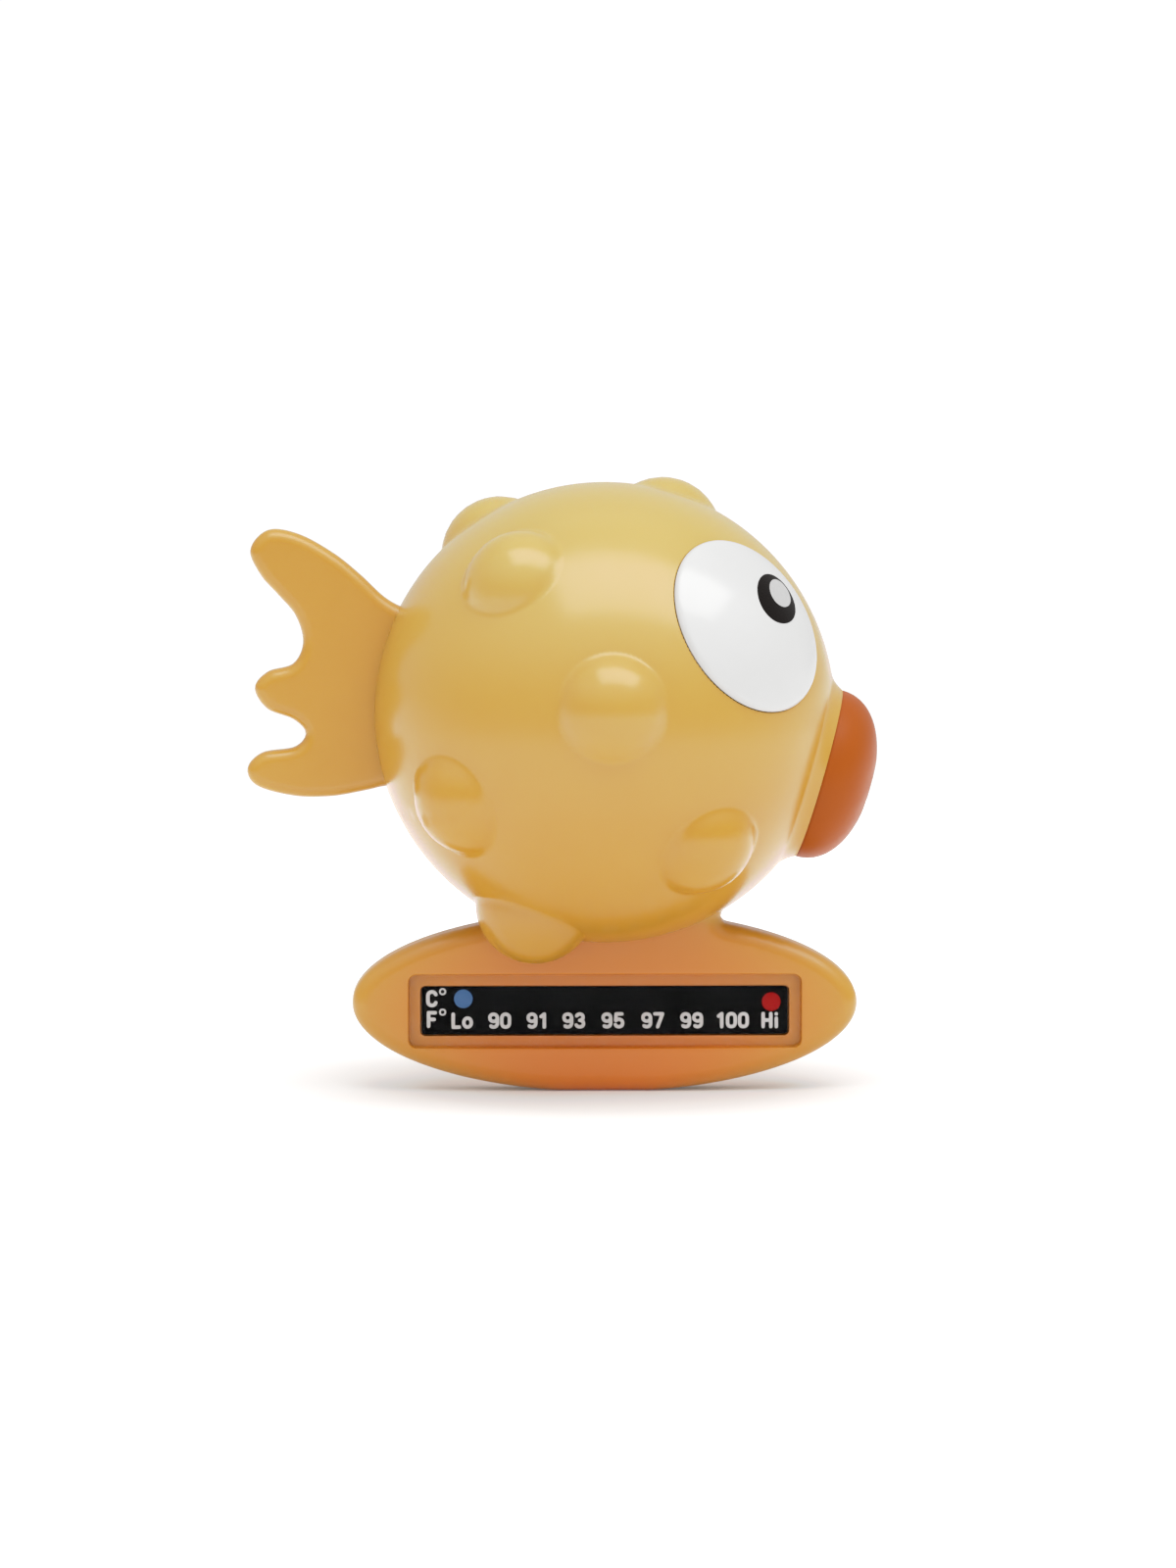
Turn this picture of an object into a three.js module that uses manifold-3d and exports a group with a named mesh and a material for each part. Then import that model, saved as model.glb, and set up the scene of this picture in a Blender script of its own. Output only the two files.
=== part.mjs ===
// Floating bath and pool thermometer in the shape of a round, knobbly fish.
// Millimetres, +Z up, +X towards the mouth, -Y towards the temperature strip.
// The origin is the middle of the small flat foot under the keel.

import * as THREE from 'three';
import { mergeVertices } from 'three/addons/utils/BufferGeometryUtils.js';
import Module from 'manifold-3d';

const wasm = await Module();
wasm.setup();

// ---- driving dimensions ----------------------------------------------------

const GAP = 0.3; // clearance between pieces that touch

// Facets around a full turn.
const BALL_FACETS = 40;
const INNER_FACETS = 24;
const KNOB_FACETS = 16;
const INNER_KNOB_FACETS = 8;
const ROUND_FACETS = 24;
const PIN_FACETS = 12;
const CORNER_FACETS = 4; // along a quarter turn
const DOME_FACETS = 8; // from an eye's rim to its middle
const LIP_FACETS = 10; // from the lips' dimple to their base
const OVAL_FACETS = 24; // round the keel's back plate
const KEEL_FACETS = 40;
const TAIL_FACETS = 3; // between neighbouring points of the tail's outline

const BALL_RADIUS = 40;
const BALL_CENTRE_Z = 65.8;
const WALL = 2; // moulded wall of the hollow body
const TONGUE = 1.5; // height of the lap joint along the body's seam

const KNOB_RADIUS = 10.3;
// Each knob is part of a sphere: the x and z of its centre from the ball's centre, and how
// far from there that centre lies.
const KNOBS_ON_BOTH_SIDES = [
  { x: 0.6, z: 3.5, distance: 34.1 },
  { x: -22.8, z: -12.2, distance: 34.1 },
  { x: 15.1, z: -18.7, distance: 34.1 },
  { x: -12.2, z: -32.5, distance: 36 },
];
const RIGHT_KNOBS = [...KNOBS_ON_BOTH_SIDES, { x: -14.3, z: 22.8, distance: 34.1 }];
const LEFT_KNOBS = [
  ...KNOBS_ON_BOTH_SIDES,
  { x: -18, z: 26.6, distance: 34.1 },
  { x: 10.3, z: 30.1, distance: 33 },
];

// Heights along an eye's or the mouth's axis are measured from the ball's centre.
const EYE_AXIS = { x: 0.642, y: -0.617, z: 0.455 }; // the right eye; the left one mirrors it
const EYE_RADIUS = 16;
const EYE_SEAT = 35.5;
const EYE_RIM = 37.5;
const EYE_SEAT_MARGIN = 1.6; // how far the seat reaches beyond the eye, under the wall
const EYE_DOME_RADIUS = 30;
const EYE_PIN_RADIUS = 2.5;
const EYE_PIN_END = 30.9;
const EYE_CLIP_RADIUS = 6;
const CLIP_THICKNESS = 1.3;

const MOUTH_TILT = THREE.MathUtils.degToRad(16); // the mouth looks this far down
const LIP_RADIUS = 15;
const LIP_HEIGHT = 9.4;
const LIP_FULLNESS = 2.2; // power of the lips' superellipse
const DIMPLE_RADIUS = 3.4;
const DIMPLE_FLOOR_RADIUS = 2;
const DIMPLE_DEPTH = 3.4;
const COLLAR_RADIUS = 15;
const COLLAR_TOP = 38.7;
const COLLAR_BOTTOM = 34.6;
const COLLAR_FLARE = 2.6; // how much wider the collar is where it leaves the ball
const COLLAR_WAIST = 0.65; // how much wider it still is half way up the flare
const MOUTH_STEM_RADIUS = 12;
const MOUTH_STEM_END = 31.9;
const MOUTH_RETAINER_RADIUS = 14.2;

const TAIL_THICKNESS = 5;
const TAIL_EDGE = 2; // rounding of the fin's edge
const TAIL_TANG = { outer: -41.5, inner: -32, bottom: 57, top: 81, thickness: 3 };
const TAIL_BEAD = { outer: -33.4, inner: -31.6, thickness: 8 };

const KEEL_LENGTH = 87.8;
const KEEL_HEIGHT = 31.1; // from the foot to the top of the ellipse
const KEEL_FOOT_CUT = 0.3; // how much the foot's flat takes off the ellipse
const KEEL_THICKNESS = 10;
const KEEL_EDGE = 3; // rounding of the keel's edge
const KEEL_TANG = { halfLength: 11, bottom: 24, top: 32.5, thickness: 4.4 };
const KEEL_BEAD = { bottom: 30.4, thickness: 9 };

const WINDOW = { length: 68.2, height: 12.8, corner: 1.4, z: 14.1, depth: 1.9 };
const STRIP = { length: 63.6, height: 8.2, corner: 0.6, z: 14, thickness: 0.3 };
const STRIP_BACKING = 0.5;
const LENS_THICKNESS = 1.1;
const STRIP_WELL_DEPTH = 3.5;

const BACK_PLATE = { halfLength: 36, halfHeight: 9.8, z: 14, thickness: 1.5 };
const BALLAST = { length: 50, height: 10, corner: 1.5, z: 12.2, thickness: 2.7 };
const BALLAST_WELL_DEPTH = 5.1;

const BODY_YELLOW = 0xd9ab5e;
const KEEL_ORANGE = 0xcd8a47;
const MOUTH_ORANGE = 0xc06a32;
const EYE_WHITE = 0xf4f4f2;
const NATURAL_PLASTIC = 0xe8e4da;
const SPRING_STEEL = 0xb8bcc0;
const PLATED_STEEL = 0x8d9094;
const FOAM_BLACK = 0x2a2a2c;
const FILM_BLACK = 0x0b0b0c;
const CLEAR = 0xf2f6f7;

// ---- solids ----------------------------------------------------------------

// A three.js geometry as a manifold-3d solid.
function toSolid(geometry) {
  const bare = geometry.index ? geometry.toNonIndexed() : geometry.clone();
  bare.deleteAttribute('normal');
  bare.deleteAttribute('uv');
  const merged = mergeVertices(bare, 1e-4);
  const mesh = new wasm.Mesh({
    numProp: 3,
    vertProperties: new Float32Array(merged.attributes.position.array),
    triVerts: new Uint32Array(merged.index.array),
  });
  return new wasm.Manifold(mesh);
}

// A manifold-3d solid as a named three.js mesh.
function toMesh(name, solid, colour, roughness, metalness = 0) {
  const cut = solid.getMesh();
  const geometry = new THREE.BufferGeometry();
  geometry.setAttribute('position', new THREE.BufferAttribute(new Float32Array(cut.vertProperties), 3));
  geometry.setIndex(new THREE.BufferAttribute(new Uint32Array(cut.triVerts), 1));
  geometry.computeVertexNormals();
  const material = new THREE.MeshStandardMaterial({ color: colour, roughness, metalness });
  const mesh = new THREE.Mesh(geometry, material);
  mesh.name = name;
  return mesh;
}

function joined(solids) {
  return solids.reduce((sum, next) => sum.add(next));
}

// A box given by its lowest and highest corners.
function block(low, high) {
  const size = new THREE.Vector3().subVectors(high, low);
  const middle = new THREE.Vector3().addVectors(low, high).multiplyScalar(0.5);
  return toSolid(new THREE.BoxGeometry(size.x, size.y, size.z).translate(middle.x, middle.y, middle.z));
}

// A sphere whose poles lie along Y, so that its equator is the body's seam.
function ball(radius, centre, around = BALL_FACETS) {
  const geometry = new THREE.SphereGeometry(radius, around, around / 2);
  return toSolid(geometry.translate(centre.x, centre.y, centre.z));
}

// A profile of [radius, height] pairs turned about an axis through the ball's centre.
function turned(profile, axis, around = ROUND_FACETS) {
  const points = profile.map(([radius, height]) => new THREE.Vector2(radius, height));
  const geometry = new THREE.LatheGeometry(points, around);
  const up = new THREE.Vector3(0, 1, 0);
  geometry.applyQuaternion(new THREE.Quaternion().setFromUnitVectors(up, axis));
  return toSolid(geometry.translate(0, 0, BALL_CENTRE_Z));
}

function turnedRing(inner, outer, bottom, top, axis, around) {
  const profile = [[inner, bottom], [outer, bottom], [outer, top], [inner, top], [inner, bottom]];
  return turned(profile, axis, around);
}

function turnedDisc(radius, bottom, top, axis, around) {
  return turned([[0, bottom], [radius, bottom], [radius, top], [0, top]], axis, around);
}

// A shape drawn in X and Z, as a plate between two places along Y, its edge rounded by `edge`.
function plate(shape, front, back, edge = 0, curveSegments = CORNER_FACETS) {
  const geometry = new THREE.ExtrudeGeometry(shape, {
    depth: back - front - 2 * edge,
    bevelEnabled: edge > 0,
    bevelSize: edge,
    bevelThickness: edge,
    bevelOffset: -edge,
    bevelSegments: CORNER_FACETS,
    curveSegments,
  });
  geometry.rotateX(Math.PI / 2);
  return toSolid(geometry.translate(0, back - edge, 0));
}

function roundedRectangle(length, height, corner, z) {
  const right = length / 2;
  const top = z + height / 2;
  const bottom = z - height / 2;
  const shape = new THREE.Shape();
  shape.absarc(right - corner, bottom + corner, corner, -Math.PI / 2, 0);
  shape.absarc(right - corner, top - corner, corner, 0, Math.PI / 2);
  shape.absarc(corner - right, top - corner, corner, Math.PI / 2, Math.PI);
  shape.absarc(corner - right, bottom + corner, corner, Math.PI, 1.5 * Math.PI);
  shape.closePath();
  return shape;
}

function ellipse(halfLength, halfHeight, z) {
  const shape = new THREE.Shape();
  shape.absellipse(0, z, halfLength, halfHeight, 0, 2 * Math.PI);
  return shape;
}

// ---- the hollow body -------------------------------------------------------

const BALL_CENTRE = new THREE.Vector3(0, 0, BALL_CENTRE_Z);
const MOUTH_AXIS = new THREE.Vector3(Math.cos(MOUTH_TILT), 0, -Math.sin(MOUTH_TILT));
const RIGHT = -1; // the side towards -Y
const LEFT = 1;

function eyeAxis(side) {
  return new THREE.Vector3(EYE_AXIS.x, -side * EYE_AXIS.y, EYE_AXIS.z).normalize();
}

function knobCentre(knob, side) {
  const depth = Math.sqrt(knob.distance ** 2 - knob.x ** 2 - knob.z ** 2);
  return new THREE.Vector3(knob.x, side * depth, BALL_CENTRE_Z + knob.z);
}

function knobs(side, radius, around) {
  const places = side === RIGHT ? RIGHT_KNOBS : LEFT_KNOBS;
  return places.map((knob) => ball(radius, knobCentre(knob, side), around));
}

// The space between the seam plane, moved outwards by `inset`, and the far end of one side.
function halfSpace(side, inset) {
  const reach = 2 * BALL_RADIUS;
  const near = side * inset;
  const far = side * reach;
  const low = new THREE.Vector3(-reach, Math.min(near, far), BALL_CENTRE_Z - reach);
  const high = new THREE.Vector3(reach, Math.max(near, far), BALL_CENTRE_Z + reach);
  return block(low, high);
}

// A thin band of the wall that straddles the seam, for the lap joint.
function seamBand(innerRadius, outerRadius, from, to) {
  const reach = 2 * BALL_RADIUS;
  const low = new THREE.Vector3(-reach, from, BALL_CENTRE_Z - reach);
  const high = new THREE.Vector3(reach, to, BALL_CENTRE_Z + reach);
  return ball(outerRadius, BALL_CENTRE)
    .subtract(ball(innerRadius, BALL_CENTRE, INNER_FACETS))
    .intersect(block(low, high));
}

function tailSlot() {
  const halfThickness = TAIL_TANG.thickness / 2 + GAP;
  const low = new THREE.Vector3(TAIL_TANG.outer - GAP, -halfThickness, TAIL_TANG.bottom - GAP);
  const high = new THREE.Vector3(TAIL_TANG.inner + GAP, halfThickness, TAIL_TANG.top + GAP);
  return block(low, high);
}

function keelSlot() {
  const halfThickness = KEEL_TANG.thickness / 2 + GAP;
  const halfLength = KEEL_TANG.halfLength + GAP;
  const low = new THREE.Vector3(-halfLength, -halfThickness, KEEL_TANG.bottom - GAP);
  const high = new THREE.Vector3(halfLength, halfThickness, KEEL_TANG.top + GAP);
  return block(low, high);
}

// A ring round the mouth's hole that flares out into the ball.
function mouthCollar() {
  const hole = MOUTH_STEM_RADIUS + GAP;
  const profile = [
    [hole, COLLAR_BOTTOM],
    [COLLAR_RADIUS, COLLAR_BOTTOM],
    [COLLAR_RADIUS + COLLAR_FLARE, COLLAR_TOP - COLLAR_FLARE],
    [COLLAR_RADIUS + COLLAR_WAIST, COLLAR_TOP - COLLAR_FLARE / 2],
    [COLLAR_RADIUS, COLLAR_TOP],
    [hole, COLLAR_TOP],
    [hole, COLLAR_BOTTOM],
  ];
  return turned(profile, MOUTH_AXIS);
}

// Half of the body: a knobbly hemisphere with a flat seat for its eye, half of the mouth's
// collar, and half of each slot that holds the tail and the keel.
function bodyShell(side) {
  const axis = eyeAxis(side);
  const innerRadius = BALL_RADIUS - WALL;
  const lapRadius = BALL_RADIUS - WALL / 2;
  const outside = joined([ball(BALL_RADIUS, BALL_CENTRE), ...knobs(side, KNOB_RADIUS, KNOB_FACETS)]);
  const inside = joined([
    ball(innerRadius, BALL_CENTRE, INNER_FACETS),
    ...knobs(side, KNOB_RADIUS - WALL, INNER_KNOB_FACETS),
  ]);
  const seat = turnedDisc(EYE_RADIUS + EYE_SEAT_MARGIN, EYE_SEAT - WALL, EYE_RIM, axis).intersect(outside);
  const collar = mouthCollar();
  const eyePocket = turnedDisc(EYE_RADIUS + GAP, EYE_SEAT, EYE_RIM + WALL + EYE_RADIUS, axis);
  const pinHole = turnedDisc(EYE_PIN_RADIUS + GAP, EYE_PIN_END, EYE_RIM, axis, PIN_FACETS);
  const mouthHole = turnedDisc(MOUTH_STEM_RADIUS + GAP, MOUTH_STEM_END, COLLAR_TOP + WALL, MOUTH_AXIS);
  const half = joined([outside.subtract(inside), seat, collar])
    .subtract(joined([eyePocket, pinHole, mouthHole]))
    .intersect(halfSpace(side, GAP / 2));
  const openings = joined([tailSlot(), keelSlot(), mouthHole]);
  const lapped = side === RIGHT
    ? half.add(seamBand(innerRadius, lapRadius - GAP / 2, -TONGUE, TONGUE - GAP))
    : half.subtract(seamBand(innerRadius - GAP, lapRadius + GAP / 2, 0, TONGUE));
  return lapped.subtract(openings);
}

// ---- pieces fitted to the body ---------------------------------------------

// A white plano-convex cap with a pin on its back.
function eye(side) {
  const back = EYE_SEAT + GAP;
  const rimAngle = Math.asin(EYE_RADIUS / EYE_DOME_RADIUS);
  const domeCentre = EYE_RIM - EYE_DOME_RADIUS * Math.cos(rimAngle);
  const profile = [[0, EYE_PIN_END], [EYE_PIN_RADIUS, EYE_PIN_END], [EYE_PIN_RADIUS, back], [EYE_RADIUS, back]];
  for (let step = DOME_FACETS; step >= 0; step -= 1) {
    const angle = (rimAngle * step) / DOME_FACETS;
    profile.push([EYE_DOME_RADIUS * Math.sin(angle), domeCentre + EYE_DOME_RADIUS * Math.cos(angle)]);
  }
  return turned(profile, eyeAxis(side));
}

// The push-on ring that holds an eye's pin from inside.
function eyeClip(side) {
  const top = EYE_SEAT - WALL - GAP;
  return turnedRing(EYE_PIN_RADIUS + GAP, EYE_CLIP_RADIUS, top - CLIP_THICKNESS, top, eyeAxis(side), PIN_FACETS);
}

// Round pouting lips with a dimple, and a hollow stem that goes through the collar.
function mouthLips() {
  const base = COLLAR_TOP + GAP;
  const dimpleFloor = base + LIP_HEIGHT - DIMPLE_DEPTH;
  const profile = [[0, dimpleFloor], [DIMPLE_FLOOR_RADIUS, dimpleFloor]];
  const dimpleAngle = Math.asin(DIMPLE_RADIUS / LIP_RADIUS);
  for (let step = 0; step <= LIP_FACETS; step += 1) {
    const angle = THREE.MathUtils.lerp(dimpleAngle, Math.PI / 2, step / LIP_FACETS);
    const radius = LIP_RADIUS * Math.sin(angle) ** (2 / LIP_FULLNESS);
    const height = LIP_HEIGHT * Math.max(Math.cos(angle), 0) ** (2 / LIP_FULLNESS);
    profile.push([radius, base + height]);
  }
  const bore = MOUTH_STEM_RADIUS - WALL;
  const boreTop = dimpleFloor - WALL;
  profile.push([MOUTH_STEM_RADIUS, base], [MOUTH_STEM_RADIUS, MOUTH_STEM_END]);
  profile.push([bore, MOUTH_STEM_END], [bore, boreTop], [0, boreTop]);
  return turned(profile.reverse(), MOUTH_AXIS);
}

function mouthRetainer() {
  const top = COLLAR_BOTTOM - GAP;
  return turnedRing(MOUTH_STEM_RADIUS + GAP, MOUTH_RETAINER_RADIUS, top - CLIP_THICKNESS, top, MOUTH_AXIS);
}

// The fin's three rounded lobes, in X and Z, from the root's top round to its bottom.
function tailShape() {
  const outline = [
    [-42.5, 90], [-47, 93.6], [-53, 96.9], [-58.3, 97.6], [-61.4, 94.2],
    [-59.6, 89.8], [-56.6, 86.4], [-53.6, 82.8], [-52.3, 78.2], [-54, 74.4],
    [-58.4, 73], [-60.7, 70.2], [-58.6, 66.6], [-54, 64.7], [-51.9, 62.3],
    [-53.8, 59.9], [-59.4, 58.9], [-62, 56.2], [-60.4, 53.2], [-54, 51.4], [-47.5, 51.3], [-41.6, 52.3],
  ].map(([x, z]) => new THREE.Vector2(x, z));
  const shape = new THREE.Shape();
  shape.moveTo(-34, 82.6);
  shape.lineTo(-38.2, 85.8);
  shape.splineThru(outline);
  shape.lineTo(-34, 54.4);
  shape.closePath();
  return shape;
}

function tailFin() {
  const half = TAIL_THICKNESS / 2;
  const blade = plate(tailShape(), -half, half, TAIL_EDGE, TAIL_FACETS)
    .subtract(ball(BALL_RADIUS + GAP, BALL_CENTRE));
  const tangLow = new THREE.Vector3(TAIL_TANG.outer, -TAIL_TANG.thickness / 2, TAIL_TANG.bottom);
  const tangHigh = new THREE.Vector3(TAIL_TANG.inner, TAIL_TANG.thickness / 2, TAIL_TANG.top);
  const beadLow = new THREE.Vector3(TAIL_BEAD.outer, -TAIL_BEAD.thickness / 2, TAIL_TANG.bottom);
  const beadHigh = new THREE.Vector3(TAIL_BEAD.inner, TAIL_BEAD.thickness / 2, TAIL_TANG.top);
  return joined([blade, block(tangLow, tangHigh), block(beadLow, beadHigh)]);
}

// ---- the keel --------------------------------------------------------------

const KEEL_HALF_HEIGHT = (KEEL_HEIGHT + KEEL_FOOT_CUT) / 2;
const KEEL_CENTRE_Z = KEEL_HALF_HEIGHT - KEEL_FOOT_CUT;
const KEEL_FRONT = -KEEL_THICKNESS / 2;
const KEEL_BACK = KEEL_THICKNESS / 2;
const LEDGE = KEEL_FRONT + WINDOW.depth; // the step that the window rests on
const BACK_LEDGE = KEEL_BACK - BACK_PLATE.thickness - GAP;

function window(clearance) {
  const grow = 2 * clearance;
  return roundedRectangle(WINDOW.length - grow, WINDOW.height - grow, WINDOW.corner - clearance, WINDOW.z);
}

function strip(clearance) {
  const grow = 2 * clearance;
  return roundedRectangle(STRIP.length + grow, STRIP.height + grow, STRIP.corner + clearance, STRIP.z);
}

function ballast(clearance) {
  const grow = 2 * clearance;
  return roundedRectangle(BALLAST.length + grow, BALLAST.height + grow, BALLAST.corner + clearance, BALLAST.z);
}

function backPlate(clearance) {
  return ellipse(BACK_PLATE.halfLength + clearance, BACK_PLATE.halfHeight + clearance, BACK_PLATE.z);
}

// An elliptical plate hollowed under the ball, with a stepped window pocket in front, a ballast
// well behind, a flat foot below and a beaded tang that goes up through the body's slot.
function keelBody() {
  const outline = ellipse(KEEL_LENGTH / 2, KEEL_HALF_HEIGHT, KEEL_CENTRE_Z);
  const underFoot = block(
    new THREE.Vector3(-KEEL_LENGTH, -KEEL_THICKNESS, -KEEL_THICKNESS),
    new THREE.Vector3(KEEL_LENGTH, KEEL_THICKNESS, 0),
  );
  const saddle = joined([
    ball(BALL_RADIUS + GAP, BALL_CENTRE),
    ...knobs(RIGHT, KNOB_RADIUS + GAP, KNOB_FACETS),
    ...knobs(LEFT, KNOB_RADIUS + GAP, KNOB_FACETS),
  ]);
  const pockets = joined([
    plate(window(0), KEEL_FRONT - WALL, LEDGE),
    plate(strip(GAP), KEEL_FRONT - WALL, KEEL_FRONT + STRIP_WELL_DEPTH),
    plate(backPlate(GAP), BACK_LEDGE, KEEL_BACK + WALL, 0, OVAL_FACETS),
    plate(ballast(GAP), KEEL_BACK - BALLAST_WELL_DEPTH, KEEL_BACK + WALL),
  ]);
  const body = plate(outline, KEEL_FRONT, KEEL_BACK, KEEL_EDGE, KEEL_FACETS)
    .subtract(joined([underFoot, saddle, pockets]));
  const halfTang = KEEL_TANG.thickness / 2;
  const halfBead = KEEL_BEAD.thickness / 2;
  const length = KEEL_TANG.halfLength;
  const tang = block(
    new THREE.Vector3(-length, -halfTang, KEEL_TANG.bottom),
    new THREE.Vector3(length, halfTang, KEEL_TANG.top),
  );
  const bead = block(
    new THREE.Vector3(-length, -halfBead, KEEL_BEAD.bottom),
    new THREE.Vector3(length, halfBead, KEEL_TANG.top),
  );
  return joined([body, tang, bead]);
}

function windowLens() {
  const back = LEDGE - GAP;
  return plate(window(GAP), back - LENS_THICKNESS, back);
}

function crystalStrip() {
  const back = KEEL_FRONT + STRIP_WELL_DEPTH - STRIP_BACKING - 2 * GAP;
  return plate(strip(0), back - STRIP.thickness, back);
}

function stripBacking() {
  const back = KEEL_FRONT + STRIP_WELL_DEPTH - GAP;
  return plate(strip(0), back - STRIP_BACKING, back);
}

function keelBackPlate() {
  return plate(backPlate(0), KEEL_BACK - BACK_PLATE.thickness, KEEL_BACK, 0, OVAL_FACETS);
}

function ballastBar() {
  const front = KEEL_BACK - BALLAST_WELL_DEPTH + GAP;
  return plate(ballast(0), front, front + BALLAST.thickness);
}

// ---- the assembly ----------------------------------------------------------

const thermometer = new THREE.Group();
thermometer.add(
  toMesh('right_shell', bodyShell(RIGHT), BODY_YELLOW, 0.3),
  toMesh('left_shell', bodyShell(LEFT), BODY_YELLOW, 0.3),
  toMesh('tail_fin', tailFin(), BODY_YELLOW, 0.35),
  toMesh('mouth_lips', mouthLips(), MOUTH_ORANGE, 0.4),
  toMesh('mouth_retainer', mouthRetainer(), NATURAL_PLASTIC, 0.5),
  toMesh('right_eye', eye(RIGHT), EYE_WHITE, 0.15),
  toMesh('left_eye', eye(LEFT), EYE_WHITE, 0.15),
  toMesh('right_eye_clip', eyeClip(RIGHT), SPRING_STEEL, 0.35, 1),
  toMesh('left_eye_clip', eyeClip(LEFT), SPRING_STEEL, 0.35, 1),
  toMesh('keel_body', keelBody(), KEEL_ORANGE, 0.35),
  toMesh('keel_back_plate', keelBackPlate(), KEEL_ORANGE, 0.35),
  toMesh('ballast_bar', ballastBar(), PLATED_STEEL, 0.4, 1),
  toMesh('strip_backing', stripBacking(), FOAM_BLACK, 0.8),
  toMesh('crystal_strip', crystalStrip(), FILM_BLACK, 0.35),
  toMesh('window_lens', windowLens(), CLEAR, 0.05),
);

export default thermometer;
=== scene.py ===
"""The looks of a floating bath thermometer: a round, knobbly fish on an oval keel.

Shapes are worked out in millimetres, in the CAD's frame: +X to the mouth, -Y to the
temperature strip, +Z up, with the origin in the middle of the foot.
"""
import math

import bpy
import numpy as np
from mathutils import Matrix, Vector
from mathutils.geometry import delaunay_2d_cdt


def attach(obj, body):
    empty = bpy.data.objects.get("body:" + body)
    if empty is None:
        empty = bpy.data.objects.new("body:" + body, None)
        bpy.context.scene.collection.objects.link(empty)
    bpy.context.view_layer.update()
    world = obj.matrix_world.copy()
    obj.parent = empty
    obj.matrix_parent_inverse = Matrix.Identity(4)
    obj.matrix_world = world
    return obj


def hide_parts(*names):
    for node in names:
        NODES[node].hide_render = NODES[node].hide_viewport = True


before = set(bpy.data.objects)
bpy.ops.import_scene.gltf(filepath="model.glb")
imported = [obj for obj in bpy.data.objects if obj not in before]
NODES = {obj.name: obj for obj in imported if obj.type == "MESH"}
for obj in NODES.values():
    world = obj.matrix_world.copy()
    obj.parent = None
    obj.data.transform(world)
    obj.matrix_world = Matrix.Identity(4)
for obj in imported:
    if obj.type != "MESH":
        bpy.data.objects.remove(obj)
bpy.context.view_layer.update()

MM = 0.001

# ---- driving dimensions, in millimetres and degrees ----

BALL_RADIUS = 40
BALL_CENTRE = np.array([0, 0, 65.8])
WALL = 2
SEAM_GAP = 0.02  # from the seam plane to each half's edge
SEAM_EDGE = 0.2  # rounding of that edge

KNOB_RADIUS = 10.3
KNOB_BLEND = 0.9  # how softly a knob's foot meets the ball
# The x and z of each knob's centre from the ball's centre, and how far from there it lies.
KNOBS_ON_BOTH_SIDES = [
    (0.6, 3.5, 34.1), (-22.8, -12.2, 34.1), (15.1, -18.7, 34.1), (-12.2, -32.5, 36),
]
RIGHT_KNOBS = KNOBS_ON_BOTH_SIDES + [(-14.3, 22.8, 34.1)]
LEFT_KNOBS = KNOBS_ON_BOTH_SIDES + [(-18, 26.6, 34.1), (10.3, 30.1, 33)]

EYE_AXIS = np.array([0.642, -0.617, 0.455])  # the right eye's
EYE_SEAT = 35.5
EYE_FLOOR_ANGLE = 23.3
EYE_POCKET_ANGLE = 23.54
EYE_POCKET_LIP = 0.25
EYE_RADIUS = 16
EYE_RIM = 37.5
EYE_RIM_ROUNDING = 1.3
EYE_RIM_DROP = 0.73  # from the rim's height down to the rounding's centre
EYE_DOME_RADIUS = 30
EYE_RIM_OVERRUN = 1.5  # degrees the rounding runs on past the dome's edge
EYE_DOME_STOP = 1.65  # degrees the dome stops short of that edge
EYE_TAPER = 0.1  # the back's radius is smaller by this
EYE_CHAMFER = 0.75
EYE_PIN_RADIUS = 2.5
EYE_PIN_CHAMFER = 0.3
EYE_PIN_END = 30.9
PIN_HOLE_ANGLE = 4.6
PUPIL_AXIS = np.array([0.718, -0.449, 0.534])  # from the dome's own centre
PUPIL_SIZE = (6.1, 4.6)  # half lengths, first towards the eye's rim
GLINT_SHIFT = (1.9, 0.1)
GLINT_SIZE = (3.6, 2.57)
INK = 0.03  # height of a printed layer
INK_SUNK = 0.1  # how far the pupil reaches into the dome

MOUTH_TILT = math.radians(16)
MOUTH_AXIS = np.array([math.cos(MOUTH_TILT), 0, -math.sin(MOUTH_TILT)])
COLLAR_RADIUS = 15
COLLAR_TOP = 38.7
COLLAR_BOTTOM = 34.6
FLARE_WIDTH = 3.3  # of the hollow curve from the ball up to the collar
MOUTH_HOLE = 12.3
LIP_HEIGHT = 9.4
LIP_FULLNESS = 2.2
LIP_INSET = 0.15  # from the collar's edge to the lips' back edge
DIMPLE_RADIUS = 2.9
DIMPLE_DEPTH = 3.4
STEM_RADIUS = 12
STEM_END = 31.9

ROOT_DEPTH = 0.9  # how far the tail and the keel reach into the ball's wall
TAIL_HALF = 2.5
TAIL_EDGE = 2
# The fin's outline in x and z, from the root's top round its three lobes to the bottom.
TAIL_OUTLINE = [
    (-34.2, 83.9), (-36.2, 84.7), (-38.6, 86.3), (-42.5, 90), (-47, 93.6), (-53, 96.9), (-58.3, 97.6),
    (-61.4, 94.2), (-59.6, 89.8), (-56.6, 86.4), (-53.6, 82.8), (-52.3, 78.2), (-54, 74.4),
    (-58.4, 73), (-60.7, 70.2), (-58.6, 66.6), (-54, 64.7), (-51.9, 62.3), (-53.8, 59.9),
    (-59.4, 58.9), (-62, 56.2), (-60.4, 53.2), (-54, 51.4), (-47.5, 51.3), (-41.6, 52.3),
    (-38.6, 53), (-36.6, 53.2),
]

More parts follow.
